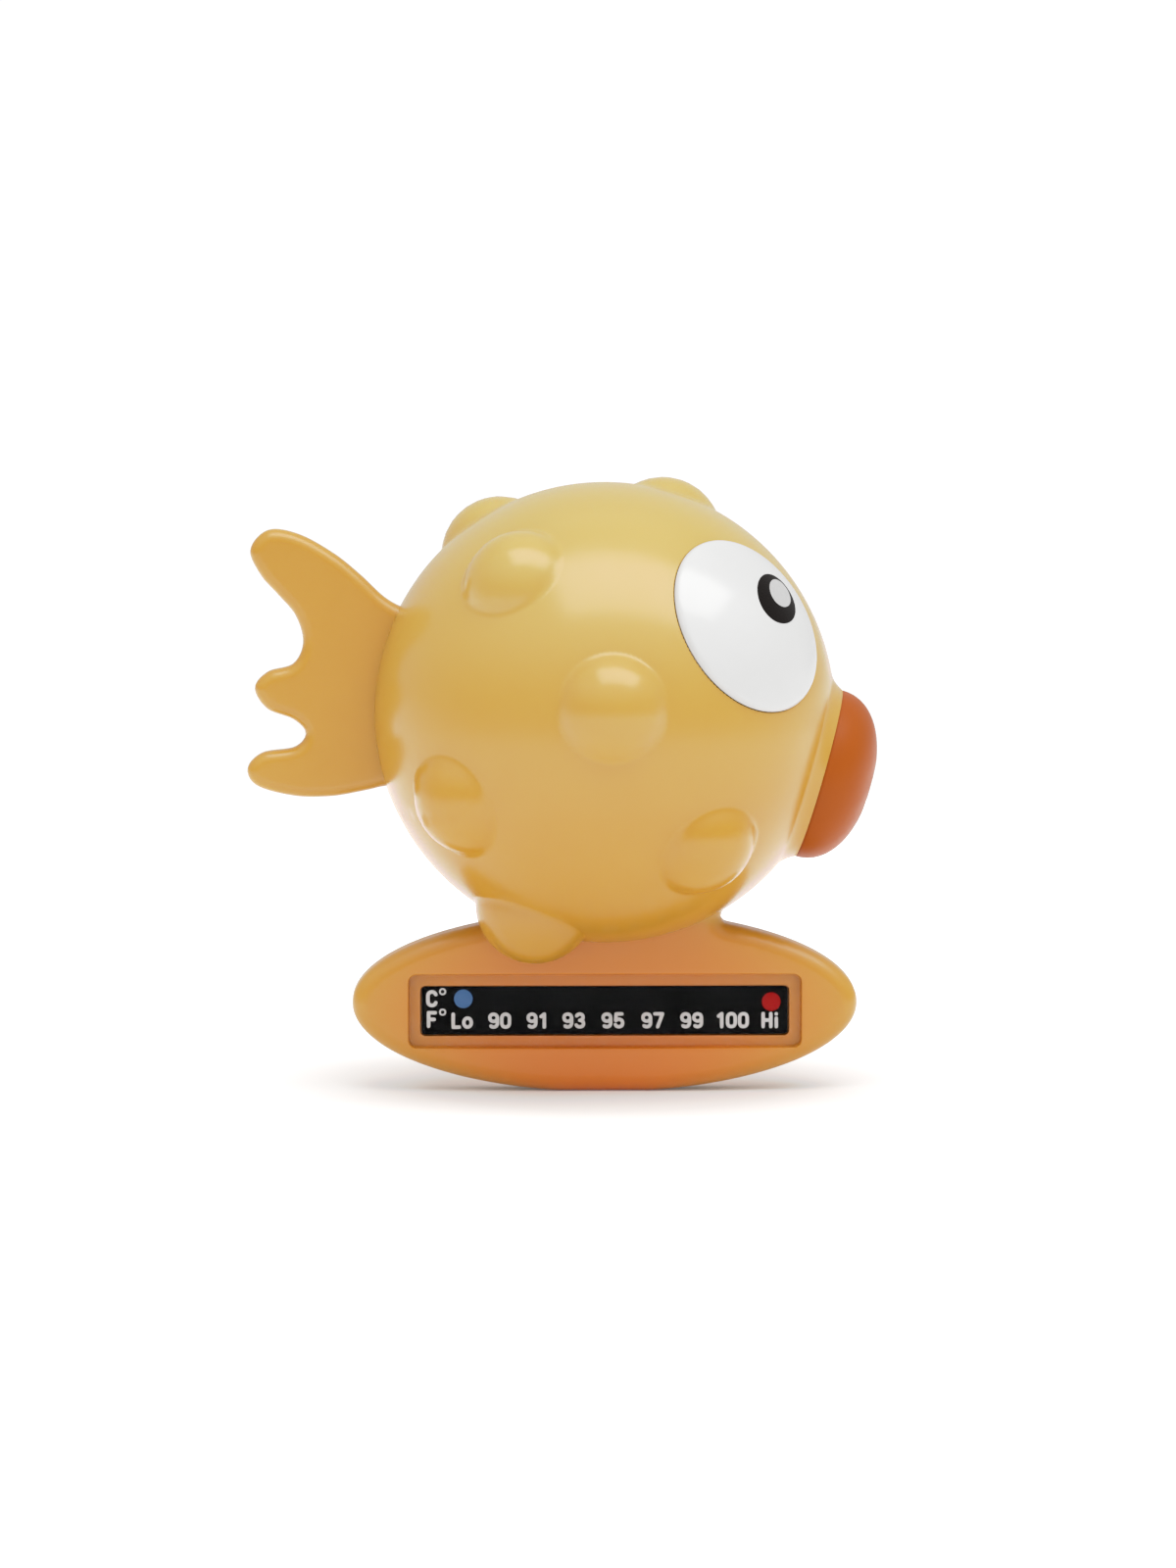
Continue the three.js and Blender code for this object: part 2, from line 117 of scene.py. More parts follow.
KEEL_HALF_LENGTH = 43.9
KEEL_HALF_HEIGHT = 15.7
KEEL_CENTRE_Z = 15.4
KEEL_HALF = 5
KEEL_EDGE = 3
NECK_FILLET = 1.4
POCKET_LIP = 0.3
POCKET_DRAFT = 0.12  # how far a pocket's wall leans in
WINDOW = {"length": 68.2, "height": 12.8, "corner": 1.4, "z": 14.1}
LEDGE = -3.1
STRIP = {"length": 63.6, "height": 8.2, "corner": 0.6, "z": 14.0}
STRIP_FRONT, STRIP_BACK = -2.9, -2.6
WELL_FLOOR = -1.5
LENS_FRONT, LENS_BACK = -4.5, -3.4
CLEARANCE = 0.3
BACK_PLATE = (36, 9.8)
BACK_PLATE_THICKNESS = 1.5
BACK_PLATE_Z = 14
BACK_LEDGE = 3.2
BALLAST = {"length": 50, "height": 10, "corner": 1.5, "z": 12.2}
BALLAST_FLOOR = -0.1


# ---- meshes ----

# What the triangulation gives back: every triangle, or those inside the outer loop.
EVERY_TRIANGLE, INSIDE_LOOP = 0, 1
SAME_DIRECTION, SAME_POINT, SAME_INK = 1e-7, 1e-6, 1e-4  # points closer than this are one


def unit(vectors):
    vectors = np.asarray(vectors, float)
    return vectors / np.linalg.norm(vectors, axis=-1, keepdims=True)


def mesh_object(name, points, faces, material):
    """A mesh object from points in millimetres."""
    mesh = bpy.data.meshes.new(name)
    mesh.from_pydata((np.asarray(points, float) * MM).tolist(), [], [tuple(face) for face in faces])
    mesh.materials.append(material)
    thing = bpy.data.objects.new(name, mesh)
    bpy.context.scene.collection.objects.link(thing)
    return thing


def piece(name, points, faces, material, nodes=(), crisp=None):
    """A smooth mesh object that rides on the body and stands for nodes.

    Edges that bend more than crisp, in degrees, stay sharp, and flat faces stay flat beside them.
    """
    thing = mesh_object(name, points, faces, material)
    thing.data.shade_smooth()
    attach(thing, "root")
    if nodes:
        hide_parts(*nodes)
    if crisp:
        thing.data.set_sharp_from_angle(angle=math.radians(crisp))
        weighted = thing.modifiers.new("flat faces", "WEIGHTED_NORMAL")
        weighted.keep_sharp = True
        weighted.weight = 100
    return thing


def triangles_of(points):
    """Delaunay triangles of 2-D points."""
    found = delaunay_2d_cdt([Vector(p) for p in points], [], [], EVERY_TRIANGLE, SAME_DIRECTION, True)
    originals = [ids[0] for ids in found[3]]
    return np.array([[originals[v] for v in face] for face in found[2]])


def filled(loops, others):
    """Points and triangles inside the first loop, with edges along every loop."""
    edges = []
    start = 0
    for loop in loops:
        count = len(loop)
        edges += [(start + i, start + (i + 1) % count) for i in range(count)]
        start += count
    points = [Vector(p) for p in np.vstack([*loops, *others])]
    found = delaunay_2d_cdt(points, edges, [], INSIDE_LOOP, SAME_POINT, True)
    return np.array([tuple(point) for point in found[0]]), np.array(found[2])


def closed_skin(front, back, triangles):
    """One closed mesh from two layers of points that share their triangles."""
    count = len(front)
    faces = [tuple(t) for t in triangles] + [(c + count, b + count, a + count) for a, b, c in triangles]
    edges = {(a, b) for t in triangles for a, b in ((t[0], t[1]), (t[1], t[2]), (t[2], t[0]))}
    for a, b in sorted(edges):
        if (b, a) not in edges:
            faces.append((b, a, a + count, b + count))
    used = np.unique(np.concatenate([np.asarray(face) for face in faces]))
    renumber = np.full(2 * count, -1)
    renumber[used] = np.arange(len(used))
    points = np.concatenate([front, back])[used]
    return points, [tuple(int(renumber[v]) for v in face) for face in faces], used


def unit_circle(count):
    """Points spaced evenly round a circle of radius one."""
    turns = np.linspace(0, 2 * math.pi, count, endpoint=False)
    return np.stack([np.cos(turns), np.sin(turns)], 1)


def across(axis):
    """Two directions that make a right-handed frame with the axis."""
    helper = np.array([0, 1, 0]) if abs(axis[1]) < 0.9 else np.array([1, 0, 0])
    first = unit(np.cross(helper, axis))
    return first, np.cross(axis, first)


def turned(profile, axis, origin, around=96):
    """A closed solid of revolution. The profile runs from the axis's foot out and up to its top."""
    axis = unit(axis)
    rim = unit_circle(around) @ across(axis)
    points = []
    rings = []
    for radius, height in profile:
        start = len(points)
        on_axis = radius < 1e-6
        points += [origin + axis * height] if on_axis else list(origin + axis * height + rim * radius)
        rings.append([start] * around if on_axis else list(range(start, start + around)))
    faces = []
    for low, high in zip(rings, rings[1:]):
        for i in range(around):
            j = (i + 1) % around
            corners = (low[i], low[j], high[j], high[i])
            faces.append(tuple(dict.fromkeys(corners)))
    return np.array(points), faces


def arc(centre, radius, start, end, steps):
    """Points along an arc between two angles in degrees."""
    angles = np.radians(np.linspace(start, end, steps + 1))
    return [(centre[0] + radius * math.cos(a), centre[1] + radius * math.sin(a)) for a in angles]


# ---- flat shapes in x and z ----

def closed(line):
    """The line with its first point again at its end."""
    return np.vstack([line, line[:1]])


def upright(points, depth):
    """Points in x and z, set at a depth in y. It may be one depth each."""
    return np.stack([points[:, 0], np.broadcast_to(depth, len(points)), points[:, 1]], 1)


def evenly_spaced(points, spacing):
    """A closed outline, walked at even steps."""
    loop = closed(points)
    lengths = np.concatenate([[0], np.cumsum(np.linalg.norm(np.diff(loop, axis=0), axis=1))])
    steps = np.linspace(0, lengths[-1], max(8, round(lengths[-1] / spacing)), endpoint=False)
    return np.stack([np.interp(steps, lengths, loop[:, 0]), np.interp(steps, lengths, loop[:, 1])], 1)


def smooth_through(points, steps=12):
    """A Catmull-Rom curve through the points."""
    p = np.array([points[0], *points, points[-1]], float)
    t = np.linspace(0, 1, steps, endpoint=False)[:, None]
    spans = [
        0.5 * (2 * b + (c - a) * t + (2 * a - 5 * b + 4 * c - d) * t ** 2 + (3 * b - a - 3 * c + d) * t ** 3)
        for a, b, c, d in zip(p, p[1:], p[2:], p[3:])
    ]
    return np.vstack([*spans, p[-1:]])


def ellipse(half_length, half_height, z, spacing=0.8):
    return evenly_spaced(unit_circle(720) * (half_length, half_height) + (0, z), spacing)


def rounded_rectangle(length, height, corner, z, spacing=0.8, corner_steps=6):
    """An anticlockwise outline whose straight sides are cut into even lengths."""
    right = length / 2 - corner
    top = height / 2 - corner
    outline = []
    for x, up, start in ((right, top, 0), (-right, top, 90), (-right, -top, 180), (right, -top, 270)):
        outline += arc((x, z + up), corner, start, start + 90, corner_steps)
    cut = []
    for a, b in zip(outline, outline[1:] + outline[:1]):
        pieces = max(1, round(math.dist(a, b) / spacing))
        cut.append(np.linspace(a, b, pieces, endpoint=False))
    return np.vstack(cut)


def rectangle_distance(points, length, height, corner, z):
    """How far outside a rounded rectangle each point lies. Inside it is negative."""
    x = np.abs(points[:, 0]) - (length / 2 - corner)
    y = np.abs(points[:, 1] - z) - (height / 2 - corner)
    outside = np.hypot(np.maximum(x, 0), np.maximum(y, 0))
    return outside + np.minimum(np.maximum(x, y), 0) - corner


def line_distance(points, line):
    """The distance from each point to an open line of points."""
    best = np.full(len(points), np.inf)
    for a, b in zip(line, line[1:]):
        step = b - a
        t = np.clip(((points - a) @ step) / max(step @ step, 1e-12), 0, 1)
        best = np.minimum(best, np.linalg.norm(points - a - t[:, None] * step, axis=1))
    return best


def within(points, outline):
    """Which points lie inside a closed outline."""
    x, y = points[:, 0], points[:, 1]
    inside = np.zeros(len(points), bool)
    for (x0, y0), (x1, y1) in zip(outline, np.roll(outline, -1, axis=0)):
        if y0 != y1:
            crosses = (y0 > y) != (y1 > y)
            inside ^= crosses & (x < (x1 - x0) * (y - y0) / (y1 - y0) + x0)
    return inside


def shrunk(outline, depth):
    """The outline moved inwards along its normals. It runs anticlockwise."""
    along = unit(np.roll(outline, -1, axis=0) - np.roll(outline, 1, axis=0))
    return outline + depth * np.stack([-along[:, 1], along[:, 0]], 1)


def grid(outline, spacing):
    """A staggered grid of points over the outline's box."""
    low, high = outline.min(0), outline.max(0)
    rows = np.arange(low[1], high[1], spacing * math.sqrt(3) / 2)
    points = []
    for k, row in enumerate(rows):
        shift = spacing / 2 * (k % 2)
        points += [(x + shift, row) for x in np.arange(low[0], high[0], spacing)]
    return np.array(points)


def edge_depths(radius, steps):
    """How far in from the outline each ring of a rounded edge lies."""
    return [radius * (1 - math.cos(math.radians(90 * k / steps))) for k in range(1, steps + 1)]


def rounding(distance, radius):
    """How far a rounded edge falls away at this distance from the outline."""
    short = np.clip(radius - distance, 0, radius)
    return radius - np.sqrt(np.maximum(radius ** 2 - short ** 2, 0))


def plate(outline, front, back, edge, spacing=1.5, steps=6, rims=(), rounded=None, levels=None):
    """A plate whose faces round off towards its outline.

    rims are more loops of points, for pockets, and rounded is the part of the outline whose
    edge is rounded. levels, where there are pockets, gives the front and back at each point.
    """
    depths = edge_depths(edge, steps)
    rings = np.vstack([shrunk(outline, depth) for depth in depths])
    rings = rings[within(rings, outline)]
    rings = rings[line_distance(rings, closed(outline)) > 0.4 * depths[0]]
    fill = grid(outline, spacing)
    fill = fill[within(fill, outline)]
    fill = fill[line_distance(fill, closed(outline)) > edge + 0.5 * spacing]
    for rim in rims:
        fill = fill[line_distance(fill, closed(rim)) > 0.45 * spacing]
    points, triangles = filled([outline, *rims], [rings, fill])
    triangles = triangles[within(points[triangles].mean(axis=1), outline)]
    fall = rounding(line_distance(points, closed(outline) if rounded is None else rounded), edge)
    fronts, backs = levels(points) if levels else (front, back)
    return closed_skin(upright(points, fronts + fall), upright(points, backs - fall), triangles)[:2]


# ---- the hollow body ----

MIRROR = np.array([1, -1, 1])  # takes the right side of the fish to its left
SEAT_LIMIT = 60  # degrees from a flat seat's axis beyond which it isn't followed
COLLAR_ANGLE = math.degrees(math.atan(COLLAR_RADIUS / COLLAR_TOP))
HOLE_ANGLE = math.degrees(math.atan(MOUTH_HOLE / COLLAR_TOP))
INNER_HOLE_ANGLE = math.degrees(math.atan(MOUTH_HOLE / COLLAR_BOTTOM))
HOLE_FADE = 25  # degrees over which the inside stops leaning away from the mouth
NUDGE = 0.0006  # how far a direction is moved to find the slope there
ON_EDGE = 0.01  # degrees from a hole's edge that still count as on it
NO_AREA = 1e-9

# How finely the body is divided: degrees, millimetres along the ball, and counts.
MOUTH_ANGLES = [HOLE_ANGLE, (HOLE_ANGLE + COLLAR_ANGLE) / 2, COLLAR_ANGLE]
MOUTH_ANGLES += [COLLAR_ANGLE + math.degrees(s / BALL_RADIUS) for s in np.linspace(0.001, FLARE_WIDTH, 9)]
SEAM_STEPS = SEAM_EDGE * np.array([0, 0.1, 0.25, 0.5, 0.75, 1])
SEAM_COUNT = 220
PIN_HOLE_SPACING = 1.5
POCKET_ANGLES = [EYE_FLOOR_ANGLE - 1.2, *np.linspace(EYE_FLOOR_ANGLE, EYE_POCKET_ANGLE + 0.5, 9)]
POCKET_SPACING = 0.8
CREASE_OFFSETS = (-2.2, -1.5, -0.9, -0.4, 0, 0.4, 0.9, 1.5, 2.2)
CREASE_SPACING = 0.9
CREASE_BAND = 3  # no filling points this near a crease
EYE_BANDS = [(EYE_AXIS, EYE_FLOOR_ANGLE - 2, EYE_POCKET_ANGLE + 1.4), (EYE_AXIS, 0, PIN_HOLE_ANGLE + 1)]
FILL_COUNT = 9000  # over the whole ball
MOUTH_MARGIN, BEND_MOUTH_MARGIN = 0.8, 0.5
SEAM_MARGIN, BEND_SEAM_MARGIN = 0.02, 0.012  # for a direction's y


def angle_from(directions, axis):
    return np.degrees(np.arccos(np.clip(directions @ unit(axis), -1, 1)))


def away_from_mouth(directions, margin):
    return directions[angle_from(directions, MOUTH_AXIS) > MOUTH_ANGLES[-1] + margin]


def knob_centres(knobs):
    return [np.array([x, -math.sqrt(d * d - x * x - z * z), z]) for x, z, d in knobs]


def reach(directions, centre, radius):
    """How far out a sphere reaches in each direction from the ball's centre."""
    middle = directions @ centre
    inside = middle ** 2 - centre @ centre + radius ** 2
    return np.where(inside > 0, middle + np.sqrt(np.maximum(inside, 0)), 0)


def seat(height, angle):
    """How far out a flat seat lies, at an angle from its axis."""
    return height / np.cos(np.radians(np.minimum(angle, SEAT_LIMIT)))


def softly_larger(a, b, blend):
    overlap = np.maximum(blend - np.abs(a - b), 0) / blend
    return np.maximum(a, b) + overlap ** 2 * blend / 4


def outer_radius(directions, knobs):
    """The body's outside, seen from its centre: ball, knobs, mouth collar, eye pocket and seam."""
    mouth = angle_from(directions, MOUTH_AXIS)
    away = np.radians(np.maximum(mouth - COLLAR_ANGLE, 0)) * BALL_RADIUS
    rise = seat(COLLAR_TOP, COLLAR_ANGLE) - BALL_RADIUS
    radius = BALL_RADIUS + rise * np.maximum(1 - away / FLARE_WIDTH, 0) ** 2
    for centre in knob_centres(knobs):
        radius = softly_larger(radius, reach(directions, centre, KNOB_RADIUS), KNOB_BLEND)
    radius = np.where(mouth < COLLAR_ANGLE, seat(COLLAR_TOP, mouth), radius)
    eye_angle = angle_from(directions, EYE_AXIS)
    floor_radius = seat(EYE_SEAT, eye_angle)
    slope = np.clip((eye_angle - EYE_FLOOR_ANGLE) / (EYE_POCKET_ANGLE - EYE_FLOOR_ANGLE), 0, 1)
    past = np.radians(np.maximum(eye_angle - EYE_POCKET_ANGLE, 0)) * BALL_RADIUS
    radius = radius - rounding(past, EYE_POCKET_LIP)
    radius = np.where(eye_angle < EYE_POCKET_ANGLE, floor_radius + (radius - floor_radius) * slope, radius)
    return radius - rounding(np.abs(directions[:, 1]) * BALL_RADIUS, SEAM_EDGE)


def inner_radius(directions, knobs):
    radius = np.full(len(directions), BALL_RADIUS - WALL, float)
    for centre in knob_centres(knobs):
        radius = np.maximum(radius, reach(directions, centre, KNOB_RADIUS - WALL))
    for axis, height in ((EYE_AXIS, EYE_SEAT - WALL), (MOUTH_AXIS, COLLAR_BOTTOM)):
        radius = np.minimum(radius, seat(height, angle_from(directions, axis)))
    return radius


def circle(axis, angle, spacing):
    """Directions at one angle round an axis."""
    axis = unit(axis)
    count = max(12, round(2 * math.pi * BALL_RADIUS * math.sin(math.radians(angle)) / spacing))
    rim = unit_circle(count) @ across(axis)
    return math.cos(math.radians(angle)) * axis + math.sin(math.radians(angle)) * rim


def mouth_arc(angle, spacing=0.9):
    """Half a circle round the mouth, from seam to seam, with close points at both ends."""
    radius = BALL_RADIUS * math.sin(math.radians(angle))
    ends = SEAM_STEPS / radius
    middle = np.linspace(ends[-1], math.pi - ends[-1], round(math.pi * radius / spacing))[1:-1]
    turns = np.concatenate([ends, middle, math.pi - ends[::-1]])
    up = np.cross(MOUTH_AXIS, [0, 1, 0])
    rim = np.outer(np.cos(turns), up) + np.outer(np.sin(turns), [0, -1, 0])
    return math.cos(math.radians(angle)) * MOUTH_AXIS + math.sin(math.radians(angle)) * rim


def seam_ring(step):
    """Directions all round the ball, this far from the seam's plane."""
    lean = step / BALL_RADIUS
    return upright(unit_circle(SEAM_COUNT) * math.cos(lean), -math.sin(lean))


def crease_angle(centre):
    """The angle from a knob's axis to the knob's foot on the ball."""
    away = np.linalg.norm(centre)
    cosine = (BALL_RADIUS ** 2 + away ** 2 - KNOB_RADIUS ** 2) / (2 * BALL_RADIUS * away)
    return math.degrees(math.acos(cosine))


def even_directions(count):
    """Directions spread evenly over the whole ball, along a spiral."""
    k = np.arange(count) + 0.5
    tilt = np.arccos(1 - 2 * k / count)
    turn = math.pi * (1 + math.sqrt(5)) * k
    return np.stack([np.cos(turn) * np.sin(tilt), np.cos(tilt), np.sin(turn) * np.sin(tilt)], 1)


def shell_directions(knobs):
    """Directions over one half of the body: close where it bends, even elsewhere."""
    bends = []
    bands = []
    for centre in knob_centres(knobs):
        crease = crease_angle(centre)
        bends += [circle(centre, crease + offset, CREASE_SPACING) for offset in CREASE_OFFSETS]
        bands.append((centre, crease - CREASE_BAND, crease + CREASE_BAND))
    bends.append(circle(EYE_AXIS, PIN_HOLE_ANGLE, PIN_HOLE_SPACING))
    bends += [circle(EYE_AXIS, angle, POCKET_SPACING) for angle in POCKET_ANGLES]
    bends = np.vstack(bends)
    fill = even_directions(FILL_COUNT)
    for axis, low, high in bands + EYE_BANDS:
        angle = angle_from(fill, axis)
        fill = fill[(angle < low) | (angle > high)]
    return np.vstack([
        *[mouth_arc(angle) for angle in MOUTH_ANGLES],
        away_from_mouth(np.vstack([seam_ring(step) for step in SEAM_STEPS]), MOUTH_MARGIN),
        away_from_mouth(bends[bends[:, 1] < -BEND_SEAM_MARGIN], BEND_MOUTH_MARGIN),
        away_from_mouth(fill[fill[:, 1] < -SEAM_MARGIN], MOUTH_MARGIN),
    ])


def shell_triangles(directions):
    """Triangles between the directions, without those that would close the mouth or the pin's hole."""
    flat = directions[:, [0, 2]] / (1 - directions[:, 1:2])
    triangles = triangles_of(flat)
    round_mouth = angle_from(directions, MOUTH_AXIS) < HOLE_ANGLE + ON_EDGE
    round_pin = np.abs(angle_from(directions, EYE_AXIS) - PIN_HOLE_ANGLE) < ON_EDGE
    triangles = triangles[~(round_mouth | round_pin)[triangles].all(axis=1)]
    corners = flat[triangles]
    doubled = np.cross(corners[:, 1] - corners[:, 0], corners[:, 2] - corners[:, 0])
    return triangles[doubled > NO_AREA]


def outer_points(directions, knobs):
    return directions * outer_radius(directions, knobs)[:, None]


def outer_normals(directions, knobs):
    """The outside's normals, from the surface at each direction and a nudge away from it."""
    here = outer_points(directions, knobs)
    slopes = []
    for helper in ([0.3, 0.9, 0.2], [0.9, -0.2, 0.4]):
        there = unit(directions + NUDGE * unit(np.cross(directions, helper)))
        slopes.append(outer_points(there, knobs) - here)
    normals = unit(np.cross(*slopes))
    return normals * np.sign((normals * directions).sum(1))[:, None]


def inner_points(directions, knobs):
    """The inside, whose directions lean away from the mouth so that its hole runs straight."""
    mouth = angle_from(directions, MOUTH_AXIS)
    fade = np.clip(1 - (mouth - HOLE_ANGLE) / HOLE_FADE, 0, 1)
    angle = np.radians(mouth + fade * (INNER_HOLE_ANGLE - HOLE_ANGLE))[:, None]
    sideways = unit(directions - (directions @ MOUTH_AXIS)[:, None] * MOUTH_AXIS)
    leaning = np.cos(angle) * MOUTH_AXIS + np.sin(angle) * sideways
    return leaning * inner_radius(leaning, knobs)[:, None]


def shell(name, node, knobs, mirrored, material):
    """One half of the body, made as the right half and mirrored for the left."""
    directions = shell_directions(knobs)
    outer = outer_points(directions, knobs)
    inner = inner_points(directions, knobs)
    points, faces, used = closed_skin(outer, inner, shell_triangles(directions))
    points = points + [0, -SEAM_GAP, 0]
    normals = np.concatenate([outer_normals(directions, knobs), -unit(inner)])[used]
    if mirrored:
        points = points * MIRROR
        normals = normals * MIRROR
        faces = [face[::-1] for face in faces]
    half = piece(name, points + BALL_CENTRE, faces, material, [node])
    half.data.normals_split_custom_set_from_vertices(normals.tolist())


# ---- pieces on the body ----

EYE_DOME_ANGLE = math.degrees(math.asin(EYE_RADIUS / EYE_DOME_RADIUS))
EYE_DOME_CENTRE = EYE_RIM - EYE_DOME_RADIUS * math.cos(math.radians(EYE_DOME_ANGLE))
EDGE_SPACING = 0.7  # along the tail's and the keel's outlines


def eye(name, node, mirrored, material):
    """A shallow white dome with a rounded rim, a chamfered back and a pin."""
    back = EYE_SEAT + CLEARANCE
    back_radius = EYE_RADIUS - EYE_TAPER
    profile = [
        (0, EYE_PIN_END),
        (EYE_PIN_RADIUS - EYE_PIN_CHAMFER, EYE_PIN_END),
        (EYE_PIN_RADIUS, EYE_PIN_END + EYE_PIN_CHAMFER),
        (EYE_PIN_RADIUS, back),
        (back_radius - EYE_CHAMFER, back),
        (back_radius, back + EYE_CHAMFER),
    ]
    rounding_centre = (EYE_RADIUS - EYE_RIM_ROUNDING, EYE_RIM - EYE_RIM_DROP)
    rounding_end = 90 - EYE_DOME_ANGLE + EYE_RIM_OVERRUN
    profile += arc(rounding_centre, EYE_RIM_ROUNDING, 0, rounding_end, 8)[:-1]
    dome_start = 90 - EYE_DOME_ANGLE + EYE_DOME_STOP
    profile += arc((0, EYE_DOME_CENTRE), EYE_DOME_RADIUS, dome_start, 90, 29)
    axis = EYE_AXIS * MIRROR if mirrored else EYE_AXIS
    points, faces = turned(profile, axis, BALL_CENTRE, 128)
    piece(name, points, faces, material, [node], crisp=40)


def dome_print(name, shift, size, layer, mirrored, material, around=72, rings=10):
    """A thin printed oval that lies on an eye's dome."""
    axis = unit(EYE_AXIS)
    out = unit(PUPIL_AXIS)
    long_way = unit(out - (out @ axis) * axis)
    long_way = unit(long_way - (long_way @ out) * out)
    wide_way = np.cross(out, long_way)
    oval_rim = unit_circle(around) * size
    shifts = [shift] + [shift + share * oval_rim for share in np.linspace(1 / rings, 1, rings)]
    shifts = np.vstack(shifts) / EYE_DOME_RADIUS
    directions = unit(out + shifts[:, :1] * long_way + shifts[:, 1:] * wide_way)
    triangles = [(0, 1 + i, 1 + (i + 1) % around) for i in range(around)]
    for a in range(1, 1 + (rings - 1) * around, around):
        for i in range(around):
            j = (i + 1) % around
            triangles += [(a + i, a + around + i, a + around + j), (a + i, a + around + j, a + j)]
    centre = axis * EYE_DOME_CENTRE
    top = centre + directions * (EYE_DOME_RADIUS + layer)
    bottom = centre + directions * (EYE_DOME_RADIUS - INK_SUNK)
    points, faces, _ = closed_skin(top, bottom, np.array(triangles))
    if mirrored:
        points = points * MIRROR
        faces = [face[::-1] for face in faces]
    piece(name, points + BALL_CENTRE, faces, material, crisp=50)


def lips(material):
    """Round pouting lips with a dimple, on a hollow stem."""
    base = COLLAR_TOP + SEAM_GAP
    bore = STEM_RADIUS - WALL
    bore_top = base + LIP_HEIGHT - DIMPLE_DEPTH - WALL
    profile = [(0, bore_top), (bore, bore_top), (bore, STEM_END), (STEM_RADIUS, STEM_END)]
    profile += [(STEM_RADIUS, base), (COLLAR_RADIUS - LIP_INSET, base)]
    for angle in np.radians(np.linspace(89, 0, 60)):
        radius = COLLAR_RADIUS * math.sin(angle) ** (2 / LIP_FULLNESS)
        height = LIP_HEIGHT * math.cos(angle) ** (2 / LIP_FULLNESS)
        height -= DIMPLE_DEPTH * math.exp(-(radius / DIMPLE_RADIUS) ** 3)
        profile.append((radius, base + height))
    points, faces = turned(profile, MOUTH_AXIS, BALL_CENTRE, 128)
    piece("lips", points, faces, material, ["mouth_lips"], crisp=45)


def rooted(edge, count):
    """A plate's free edge, closed by an arc inside the ball's wall."""
    radius = BALL_RADIUS - ROOT_DEPTH
    angles = [math.atan2(z - BALL_CENTRE[2], x) for x, z in (edge[-1], edge[0])]
    turns = np.linspace(*np.unwrap(angles), count)
    root = np.stack([radius * np.cos(turns), BALL_CENTRE[2] + radius * np.sin(turns)], 1)
    return evenly_spaced(np.vstack([edge, root]), EDGE_SPACING)


def tail(material):
    edge = smooth_through(TAIL_OUTLINE)
    outline = rooted(edge, 24)
    points, faces = plate(outline, -TAIL_HALF, TAIL_HALF, TAIL_EDGE, 1.4, 8, rounded=edge)
    piece("tail", points, faces, material, ["tail_fin"], crisp=40)


# ---- the keel ----

# Loops of edges round the pockets, by how far outside a pocket's edge they lie.
WINDOW_RIMS = (POCKET_LIP, 0.2, 0.1, 0.001, -0.13, -0.4)
WELL_RIMS = (0.0, -POCKET_DRAFT)
PLATE_RECESS = 0.9985  # between the two rims of the back plate's recess, as a share of its size


def widened(shape, margin):
    """A rounded rectangle's dimensions with a margin all round."""
    return {
        "length": shape["length"] + 2 * margin,
        "height": shape["height"] + 2 * margin,
        "corner": shape["corner"] + margin,
        "z": shape["z"],
    }


def keel_edge(fineness=3000, keep_every=25):
    """The keel's free edge, from its right neck down round the foot and up to its left neck."""
    turns = np.linspace(-math.pi / 2, math.pi / 2, fineness)
    x = KEEL_HALF_LENGTH * np.cos(turns)
    z = KEEL_HALF_HEIGHT * np.sin(turns)
    normal = unit(np.stack([x / KEEL_HALF_LENGTH ** 2, z / KEEL_HALF_HEIGHT ** 2], 1))
    edge = np.stack([x, z + KEEL_CENTRE_Z], 1)
    centres = edge + NECK_FILLET * normal
    ball = np.array([0, BALL_CENTRE[2]])
    gap = np.linalg.norm(centres - ball, axis=1) - BALL_RADIUS - NECK_FILLET
    last = int(np.argmax(gap < 0))
    centre = centres[last]
    touch = ball + (centre - ball) * BALL_RADIUS / (BALL_RADIUS + NECK_FILLET)
    start, end = (math.degrees(math.atan2(*(p - centre)[::-1])) for p in (edge[last], touch))
    if end - start > 180:
        end -= 360
    neck = np.array(arc(centre, NECK_FILLET, start, end, 10))
    right = np.vstack([edge[:last:keep_every], neck])
    left = right[::-1] * [-1, 1]
    whole = np.vstack([left[:-1], right])
    whole[:, 1] = np.maximum(whole[:, 1], 0)
    return whole


def keel_levels(points):
    """The keel's front, with the window's ledge and the strip's well, and its back."""
    window = rectangle_distance(points, **WINDOW)
    strip_well = rectangle_distance(points, **widened(STRIP, CLEARANCE))
    ballast_well = rectangle_distance(points, **widened(BALLAST, CLEARANCE))
    across_plate = np.hypot(
        points[:, 0] / (BACK_PLATE[0] + CLEARANCE),
        (points[:, 1] - BACK_PLATE_Z) / (BACK_PLATE[1] + CLEARANCE),
    )
    on_lip = window > -POCKET_DRAFT / 2
    front = np.where(on_lip, -KEEL_HALF + rounding(window, POCKET_LIP), LEDGE)
    front = np.where(strip_well < -POCKET_DRAFT / 2, WELL_FLOOR, front)
    back = np.where(across_plate < PLATE_RECESS, BACK_LEDGE, KEEL_HALF)
    return front, np.where(ballast_well < -POCKET_DRAFT / 2, BALLAST_FLOOR, back)


